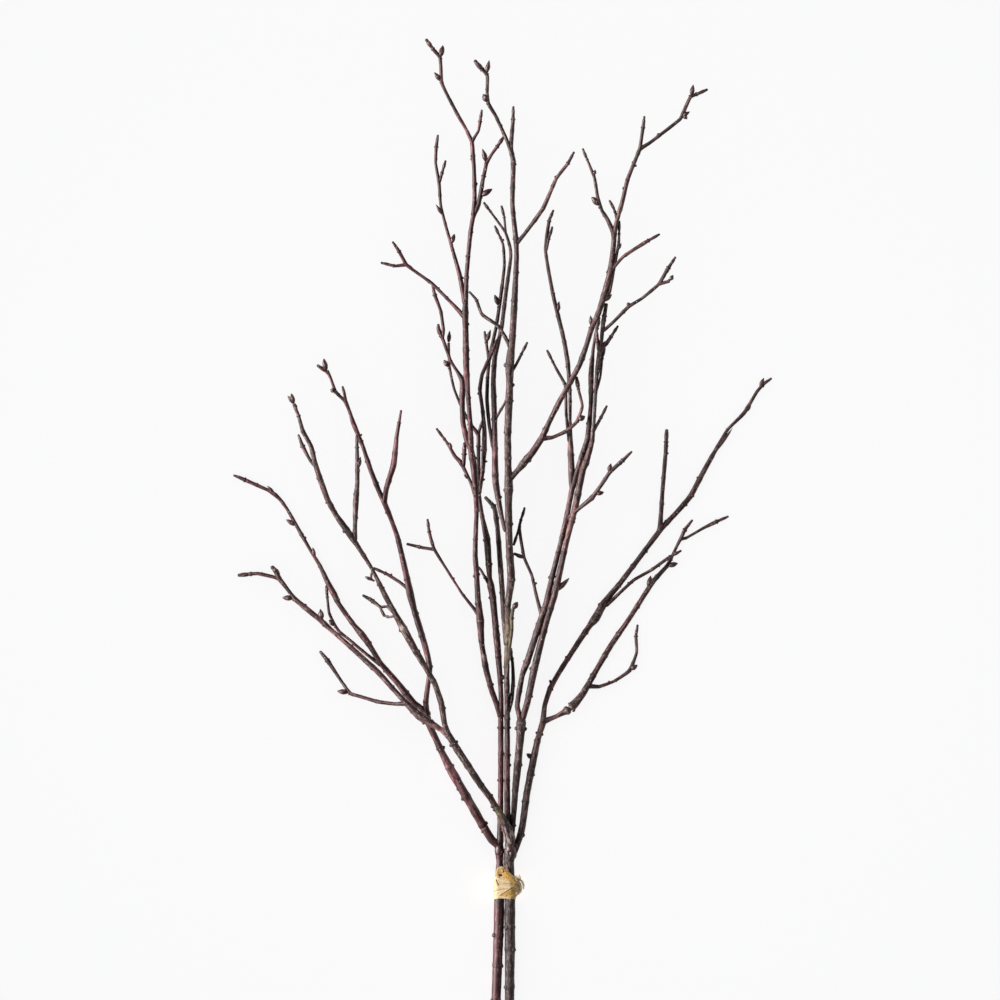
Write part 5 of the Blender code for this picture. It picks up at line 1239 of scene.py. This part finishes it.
def makeLenticelTree():
    # small pale lenses over the bark, long way along the shoot
    tree, inputs, outputs = startTree("lenticelsOnBark", {
        "Density": "NodeSocketFloat", "Seed": "NodeSocketInt",
        "Shape": "NodeSocketObject", "Skin": "NodeSocketMaterial"})
    link = tree.links.new
    scatter = addNode(tree, "GeometryNodeDistributePointsOnFaces", distribute_method="RANDOM")
    link(inputs.outputs["Geometry"], scatter.inputs["Mesh"])
    link(inputs.outputs["Density"], scatter.inputs["Density"])
    link(inputs.outputs["Seed"], scatter.inputs["Seed"])
    turn = addNode(tree, "FunctionNodeAxesToRotation", primary_axis="Z", secondary_axis="Y")
    link(scatter.outputs["Normal"], turn.inputs["Primary Axis"])
    link(readAttribute(tree, "run", "FLOAT_VECTOR"), turn.inputs["Secondary Axis"])
    shape = addNode(tree, "GeometryNodeObjectInfo")
    shape.inputs["As Instance"].default_value = True
    link(inputs.outputs["Shape"], shape.inputs["Object"])
    spread = addNode(tree, "FunctionNodeRandomValue", data_type="FLOAT")
    spread.inputs[2].default_value = outgrowths["lenticelLeast"]
    spread.inputs[3].default_value = outgrowths["lenticelMost"]
    link(inputs.outputs["Seed"], spread.inputs["Seed"])
    size = addNode(tree, "ShaderNodeCombineXYZ")
    for axis, key in (("X", "lenticelWidth"), ("Y", "lenticelLength"), ("Z", "lenticelHeight")):
        value = times(tree, spread.outputs[1], outgrowths[key] * mm)
        link(value, size.inputs[axis])
    seat = addNode(tree, "GeometryNodeInstanceOnPoints")
    link(scatter.outputs["Points"], seat.inputs["Points"])
    link(shape.outputs["Geometry"], seat.inputs["Instance"])
    link(turn.outputs[0], seat.inputs["Rotation"])
    link(size.outputs[0], seat.inputs["Scale"])
    finishTree(tree, seat.outputs[0], inputs.outputs["Skin"], outputs)
    return tree


def makeSkin(name, look):
    # the dry brown skin of buds, scars and knobs, paler at the edges of the scales
    material, tree, shader = startMaterial(name)
    place = addNode(tree, "ShaderNodeTexCoord").outputs["Object"]
    mottle = noiseAt(tree, stretched(tree, place, [outgrowths["mottle"]] * 3), 3.0)
    grain = noiseAt(tree, stretched(tree, place, [outgrowths["grain"]] * 3), 2.0)
    colour = mixColour(tree, between(tree, mottle, 0.38, 0.62), paint(look["dark"]), paint(look["light"]))
    down = times(tree, between(tree, grain, 0.50, 0.66), look["downShare"])
    colour = mixColour(tree, down, colour, paint(look["down"]))
    rim = times(tree, painted(tree, "edge"), between(tree, grain, 0.35, 0.6))
    colour = mixColour(tree, times(tree, rim, outgrowths["rimShare"]), colour, paint(look["down"]))
    tree.links.new(colour, shader.inputs["Base Color"])
    shader.inputs["Roughness"].default_value = look["roughness"]
    addBump(tree, shader, grain, outgrowths["bump"], outgrowths["bumpReach"])
    return material


def makeOutgrowths(branch, shoots, woodPiece, kit):
    chance = random.Random(branch["seed"] + 5)
    pieces = []
    skins = {key: makeSkin(branch["name"] + key, branch[key]) for key in ("budSkin", "nubSkin", "lensSkin")}
    points = makePoints(branch["name"] + "BudPoints", budSeats(branch, shoots, chance))
    pieces.append(runTree(branch["name"] + "Buds", points, kit["seatTree"], {
        "Shapes": kit["buds"], "Skin": skins["budSkin"]}))
    points = makePoints(branch["name"] + "NubPoints", nubSeats(branch, shoots, chance))
    pieces.append(runTree(branch["name"] + "Scars", points, kit["seatTree"], {
        "Shapes": kit["nubs"], "Skin": skins["nubSkin"]}))
    pieces.append(runTree(branch["name"] + "Lenticels", woodPiece.data.copy(), kit["lensTree"], {
        "Density": outgrowths["lenticelDensity"], "Seed": branch["seed"], "Shape": kit["lens"],
        "Skin": skins["lensSkin"]}))
    for piece in pieces:
        print(piece.name, len(piece.data.polygons), "faces")
    return pieces


# raffia tie
raffia = {
    "name": "raffiaTie", "node": "raffia_tie", "slot": "raffia", "seed": 5,
    "gap": 0.75,             # room between the stems and the innermost wrap
    "steps": 72,             # points round a wrap
    "ribThickness": 0.075,   # thickness of a strip against its width
    "wrinkle": 0.35,         # how far the strips wander off flat
    "wrinkleScale": 420.0, "wrinklePush": (0.3, 0.5, 0.8),  # how finely, for each metre, and which way
    "ribs": 15, "ribDip": 0.35, "crown": 0.10,  # fibres across a strip, how deep between, and its bulge
    "place": -304.5,         # y of the tie on the stems
    "layer": 0.42,           # thickness of one layer of wraps
    "riseOver": 10.0,        # a wrap climbs its rise over this distance to the right
    "sway": 0.25, "swell": 0.06,  # how much a wrap wanders, and its width changes
    "strandStep": 0.55,
    "grainShift": 0.37,      # keeps one strip's fibres from repeating on the next
    # wraps: y of the middle, rise to the right, width, layer, tint (0 cream to 1 brown)
    "wraps": [
        (-297.2, 0.4, 6.8, 0, 0.16), (-302.4, -0.3, 7.2, 1, 0.10), (-308.0, 0.0, 7.6, 0, 0.12),
        (-311.3, -0.3, 6, 0, 0.18), (-302.8, 2.0, 5.4, 2, 0.12), (-299.2, -1.8, 4.6, 2, 0.14)],
    # strands: tint, points as (x, y, height, width, lean of the strip's face to the right in degrees)
    "strands": [
        (0.42, [(-4.8, -295, 12.4, 2, 0), (-5.3, -291.4, 13.4, 2.2, -10), (-4.8, -288.4, 14.6, 2.4, -10),
                (-3.3, -286.4, 15.4, 2.4, 0), (-1.2, -286, 15.6, 2.4, 0), (0.6, -287.4, 15.2, 2.6, 10),
                (1.2, -290, 14.4, 2.8, 10), (0.6, -293, 13.2, 2.4, 0), (0.2, -295.6, 12.6, 2, 0)]),
        (0.48, [(-2.9, -291.9, 13, 4.2, 0), (-2.8, -290, 14.4, 5.8, 0), (-2.4, -288, 15.2, 5.6, 0),
                (-2, -286.2, 15.4, 4, 0)]),
        (0.62, [(0.4, -284.9, 14.6, 2.2, 25), (2.6, -288.6, 15, 2.8, 25), (4.6, -292, 15.2, 3, 20),
                (7.6, -295.2, 15, 2.8, 20), (10.4, -297.6, 14.4, 2.6, 35), (12.4, -300, 12.4, 2.6, 50)]),
        (0.75, [(0, -289.4, 14.2, 2.4, -10), (1.4, -291.8, 14.8, 3.4, 0), (4, -294.6, 15, 3.8, 5),
                (7.2, -297.2, 14.8, 3.4, 15), (9.8, -300.2, 14.2, 2.8, 30), (11.6, -303.4, 12, 2.2, 50)]),
        (0.25, [(1.4, -284.4, 14, 1.3, 45), (3.8, -287.6, 14.4, 1.5, 40), (5.6, -291, 14.6, 1.6, 30),
                (8.4, -293.8, 14.6, 1.6, 25), (11.2, -295.2, 13.8, 1.8, 40), (13.6, -296.2, 12, 1.6, 60)]),
        (0.45, [(9.4, -294.8, 13.4, 2.6, 20), (11.8, -295.4, 13.8, 3, 40), (13.8, -297.4, 12.6, 3.2, 60),
                (14.6, -300, 10.2, 3, 80), (13.2, -302, 7.8, 2.4, 100)]),
        (0.60, [(10.6, -302.6, 13.2, 2.2, 30), (12.4, -299.6, 13.4, 2.8, 40), (14.2, -296.8, 11.8, 3, 60),
                (14.8, -295, 9.4, 2.4, 80)]),
        (0.35, [(9.6, -299, 14.6, 2, 10), (12, -299.2, 14, 2.6, 35), (14.4, -299.6, 12, 2.8, 55),
                (16, -301.4, 9.8, 2.2, 70)]),
        (0.10, [(13.8, -296.8, 12.4, 1.6, 20), (16.2, -297.6, 11.6, 2, 20), (17.8, -299.8, 10.2, 2.2, 20),
                (18.5, -302.6, 8.6, 2, 15), (18.4, -305.6, 7, 1.1, 10)]),
        (0.55, [(13.8, -298.6, 12, 1.6, 40), (15.6, -300.6, 10.8, 1.9, 45), (16.6, -303.8, 9, 1.8, 50),
                (16.6, -306.8, 7.4, 1.5, 45), (15.8, -309.4, 6, 0.8, 40)]),
        (0.08, [(12, -299.4, 12.6, 2, 10), (13.2, -302.2, 11.2, 3, 15), (13.9, -305.2, 9.2, 3.2, 15),
                (13.4, -308.6, 7, 2.4, 10), (12.4, -311.4, 5.4, 1.1, 10)]),
        (0.12, [(13.4, -300.6, 11.6, 1.5, 15), (15, -303.6, 9.8, 2, 20), (15.2, -307, 7.6, 1.8, 15),
                (14.2, -310.6, 5.2, 0.8, 10)]),
        (0.45, [(11.4, -297, 13.6, 1.2, 10), (12.3, -294.8, 14.2, 1.4, 10), (12.7, -292.7, 14.4, 0.7, 10)]),
        (0.30, [(12.8, -297.4, 13.2, 1.1, 20), (14.3, -294.9, 13.8, 1.3, 20), (14.9, -292.2, 14, 0.6, 20)]),
        (0.55, [(13.8, -298, 12.4, 1, 30), (15.6, -295.8, 12.8, 1.1, 30), (15.9, -293.6, 13, 0.5, 30)]),
        (0.62, [(12.6, -304.2, 7.5, 2.2, 85), (10.9, -304.4, 12.2, 3, 45), (7, -306, 13.8, 3.2, 10),
                (3, -308.1, 13.8, 2.5, 0), (-1, -310.2, 13.4, 1.2, 0)]),
        (0.74, [(12.6, -307.2, 7.5, 2.4, 85), (10.9, -307.2, 12, 3, 45), (7, -308.4, 13.6, 3, 10),
                (3, -310, 13.6, 2.3, 0), (0, -311.4, 13.2, 1.1, 0)]),
        (0.52, [(12.6, -310.8, 7.5, 2.6, 85), (10.9, -310.8, 12, 3.2, 45), (7, -311, 13.4, 2.8, 10),
                (3.5, -311.8, 13.2, 1.6, 0)]),
        (0.0, [(12.5, -300.6, 8.5, 1.2, 80), (10.9, -301.4, 12.8, 1.5, 45), (6.5, -304, 14.4, 1.7, 5),
               (2, -306.8, 14.4, 1.7, 0), (-2, -309.2, 14, 1.5, 0), (-5, -310.9, 13.2, 1, -15)]),
        (0.12, [(-7.2, -296.4, 12.2, 1, -35), (-6.6, -299, 12.6, 1.3, -30), (-5.6, -302.2, 12.9, 1, -20)]),
    ],
}


straw = {
    "cream": "b9a07a", "golden": "b98a34", "tan": "b0894f", "fibre": "6e4c1e",
    "roughness": 0.6, "sheen": 0.15,
    "glow": 0.45, "glowReach": 2.0, "glowTint": (1.0, 0.85, 0.7),  # light that passes through a strip
    "across": 6.0,           # how fast the patterns change across a strip, against its width
    "fibres": (2.6, 0.10, 1.0), "stains": (0.35, 0.16, 1.0),
    "stainShare": 0.45, "bump": 0.5, "bumpReach": 0.3,
}


def wrapOutline(centres, offset):
    # the line of a strip drawn round both stems, as (x, height) and the way out at each point
    line = []
    for k in range(raffia["steps"]):
        angle = 2 * math.pi * k / raffia["steps"]
        out = Vector((math.cos(angle), math.sin(angle)))
        centre, half = max(centres, key=lambda stem: stem[0].dot(out) + stem[1])
        line.append((centre + out * (half + offset), out))
    return line


def addStrip(strips, points, tint, closed):
    # points: place, side vector, width. a closed strip ends where it starts
    first = len(strips["places"])
    along = 0.0
    for index, (place, side, width) in enumerate(points):
        if index:
            along += (place - points[index - 1][0]).length
        strips["places"].append(place * mm)
        strips["side"].extend(side.normalized())
        strips["width"].append(width * mm)
        strips["tint"].append(tint)
        strips["along"].append(along + raffia["grainShift"] * len(strips["edges"]))
    last = len(strips["places"]) - 1
    strips["edges"].extend((k, k + 1) for k in range(first, last))
    if closed:
        strips["edges"].append((last, first))


def makeStrips(centres):
    chance = random.Random(raffia["seed"])
    strips = {"places": [], "edges": [], "side": [], "width": [], "tint": [], "along": []}
    middle = sum(centre.x for centre, _ in centres) / len(centres)
    for y, rise, width, layer, tint in raffia["wraps"]:
        points = []
        phase = chance.uniform(0, 6.28)
        for k, (place, out) in enumerate(wrapOutline(centres, raffia["gap"] + raffia["layer"] * layer)):
            turn = 2 * math.pi * k / raffia["steps"]
            tilt = rise * (place.x - middle) / raffia["riseOver"]
            tilt += raffia["sway"] * math.sin(2 * turn + phase)
            wide = width * (1 + raffia["swell"] * math.sin(3 * turn + phase))
            spot = Vector((place.x, y + tilt, place.y))
            run = Vector((-out.y, rise / raffia["riseOver"], out.x)).normalized()
            normal = Vector((out.x, 0.0, out.y))
            points.append((spot, normal.cross(run), wide))
        addStrip(strips, points, tint, True)
    for tint, knots in raffia["strands"]:
        flat = [Vector(knot[:4]) for knot in knots]
        marks = marksAlong(flat)
        count = max(6, round(marks[-1] / raffia["strandStep"]))
        where = [marks[-1] * k / count for k in range(count + 1)]
        leans = smoothPath([Vector((knot[4], 0.0, 0.0)) for knot in knots], marks, where)
        path = smoothPath(flat, marks, where)
        points = []
        for k, (spot, lean) in enumerate(zip(path, leans)):
            run = (path[min(k + 1, count)] - path[max(k - 1, 0)]).to_3d().normalized()
            face = Vector((math.sin(math.radians(lean.x)), 0.0, math.cos(math.radians(lean.x))))
            side = run.cross(face)
            if side.length < 0.2:
                side = Vector((1.0, 0.0, 0.0))
            if points and side.dot(points[-1][1]) < 0:
                side = -side
            points.append((Vector(spot[:3]), side.normalized(), spot[3]))
        addStrip(strips, points, tint, False)
    mesh = bpy.data.meshes.new("raffiaLines")
    mesh.from_pydata(strips["places"], strips["edges"], [])
    mesh.attributes.new("side", "FLOAT_VECTOR", "POINT").data.foreach_set("vector", strips["side"])
    for name in ("width", "tint", "along"):
        mesh.attributes.new(name, "FLOAT", "POINT").data.foreach_set("value", strips[name])
    return mesh


def stripProfile():
    # the strip's section: flat, ribbed with fibres, one unit wide
    ribs = raffia["ribs"]
    thick = raffia["ribThickness"] / 2
    line = []
    for k in range(ribs + 1):
        across = k / ribs - 0.5
        rib = raffia["ribDip"] if k % 2 else 1.0
        line.append((across, thick * rib - raffia["crown"] * across**2))
    for k in range(ribs, -1, -1):
        across = k / ribs - 0.5
        edge = 0.6 if k in (0, ribs) else 1.0
        line.append((across, -thick * edge - raffia["crown"] * across**2))
    mesh = bpy.data.meshes.new("stripProfile")
    edges = [(k, (k + 1) % len(line)) for k in range(len(line))]
    mesh.from_pydata([Vector((x, y, 0.0)) for x, y in line], edges, [])
    mesh.attributes.new("across", "FLOAT", "POINT").data.foreach_set("value", [x for x, y in line])
    return bpy.data.objects.new("stripProfile", mesh)


def makeRaffiaTree():
    tree, inputs, outputs = startTree("stripsAlongLines", {
        "Profile": "NodeSocketObject", "Wrinkle": "NodeSocketFloat", "Straw": "NodeSocketMaterial"})
    link = tree.links.new
    toCurve = addNode(tree, "GeometryNodeMeshToCurve")
    link(inputs.outputs["Geometry"], toCurve.inputs["Mesh"])
    lay = addNode(tree, "GeometryNodeSetCurveNormal", mode="FREE")
    link(toCurve.outputs["Curve"], lay.inputs["Curve"])
    link(readAttribute(tree, "side", "FLOAT_VECTOR"), lay.inputs["Normal"])
    shape = addNode(tree, "GeometryNodeObjectInfo")
    link(inputs.outputs["Profile"], shape.inputs["Object"])
    section = addNode(tree, "GeometryNodeMeshToCurve")
    link(shape.outputs["Geometry"], section.inputs["Mesh"])
    sweep = addNode(tree, "GeometryNodeCurveToMesh")
    sweep.inputs["Fill Caps"].default_value = True
    link(lay.outputs[0], sweep.inputs["Curve"])
    link(section.outputs["Curve"], sweep.inputs["Profile Curve"])
    link(readAttribute(tree, "width"), sweep.inputs["Scale"])
    place = addNode(tree, "ShaderNodeCombineXYZ")
    link(times(tree, readAttribute(tree, "across"), straw["across"]), place.inputs["X"])
    link(readAttribute(tree, "along"), place.inputs["Y"])
    mesh = storeAttribute(tree, sweep.outputs["Mesh"], "stripPlace", place.outputs[0], "FLOAT_VECTOR")
    lumps = addNode(tree, "ShaderNodeTexNoise", noise_dimensions="3D")
    lumps.inputs["Scale"].default_value = raffia["wrinkleScale"]
    lumps.inputs["Detail"].default_value = 2.0
    depth = times(tree, mathNode(tree, "SUBTRACT", lumps.outputs["Fac"], 0.5),
                  times(tree, inputs.outputs["Wrinkle"], mm))
    push = addNode(tree, "ShaderNodeVectorMath", operation="SCALE")
    push.inputs[0].default_value = raffia["wrinklePush"]
    link(depth, push.inputs["Scale"])
    wrinkled = addNode(tree, "GeometryNodeSetPosition")
    link(mesh, wrinkled.inputs["Geometry"])
    link(push.outputs[0], wrinkled.inputs["Offset"])
    finishTree(tree, wrinkled.outputs[0], inputs.outputs["Straw"], outputs)
    return tree


def makeStraw(name):
    material, tree, shader = startMaterial(name)
    place = painted(tree, "stripPlace", "Vector")
    tint = painted(tree, "tint")
    fibres = noiseAt(tree, stretched(tree, place, straw["fibres"]), 3.0, 0.6)
    stains = noiseAt(tree, stretched(tree, place, straw["stains"]), 2.0)
    colour = mixColour(tree, between(tree, tint, 0.1, 0.75), paint(straw["cream"]), paint(straw["golden"]))
    stained = times(tree, between(tree, stains, 0.45, 0.7), straw["stainShare"])
    colour = mixColour(tree, stained, colour, paint(straw["tan"]))
    dark = times(tree, between(tree, fibres, 0.48, 0.68), plus(tree, times(tree, tint, 0.7), 0.32))
    colour = mixColour(tree, dark, colour, paint(straw["fibre"]))
    tree.links.new(colour, shader.inputs["Base Color"])
    shader.inputs["Roughness"].default_value = straw["roughness"]
    shader.inputs["Sheen Weight"].default_value = straw["sheen"]
    shader.inputs["Subsurface Weight"].default_value = straw["glow"]
    shader.inputs["Subsurface Scale"].default_value = straw["glowReach"] * mm
    shader.inputs["Subsurface Radius"].default_value = straw["glowTint"]
    addBump(tree, shader, fibres, straw["bump"], straw["bumpReach"])
    return material


def makeRaffia(stems):
    centres = []
    for stem in stems:
        point = stem.at(stem.markNear(stem.at(0)[0], raffia["place"]))
        centres.append((Vector((point[0], point[2])), point[3] / 2))
    profile = stripProfile()
    piece = runTree(raffia["name"], makeStrips(centres), makeRaffiaTree(), {
        "Profile": profile, "Wrinkle": raffia["wrinkle"], "Straw": makeStraw("raffiaStraw")})
    bpy.data.objects.remove(profile)
    print(piece.name, len(piece.data.polygons), "faces")
    return piece


def settle(piece, slot, *nodes):
    # every finished piece rides on the one body, and the parts it stands in for are hidden
    if nodes:
        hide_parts(*nodes)
    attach(piece, "root")


def main():
    print("camera, light and floor")
    makeCamera()
    makeStudio()
    barkTree = makeBarkTree()
    lensShape = revolve([(0, -0.6), (0.8, -0.4), (1.0, 0.2), (0.5, 0.85), (0, 1)], 6)
    kit = {"seatTree": makeSeatTree(), "lensTree": makeLenticelTree(),
           "buds": makeShapes("bud", budShapes()), "nubs": makeShapes("nub", nubShapes()),
           "lens": makeShape("lens", lensShape)}
    stems = []
    for branch in (maroonBranch, greyBranch):
        print("wood, buds, scars and lenticels of the", branch["name"], "branch")
        shoots = growShoots(branch)
        placeScars(branch, shoots)
        bark = makeBark(branch["name"] + "Bark", branch["bark"])
        piece = makeWood(branch, shoots, barkTree, bark)
        outgrown = makeOutgrowths(branch, shoots, piece, kit)
        settle(piece, branch["slot"], branch["node"])
        for part in outgrown:
            settle(part, branch["slot"])
        stems.append(shoots["stem"])
    print("raffia tie")
    settle(makeRaffia(stems), raffia["slot"], raffia["node"])
    for group in (kit["buds"], kit["nubs"]):
        for shape in list(group.objects):
            bpy.data.objects.remove(shape)
        bpy.data.collections.remove(group)
    bpy.data.objects.remove(kit["lens"])


main()
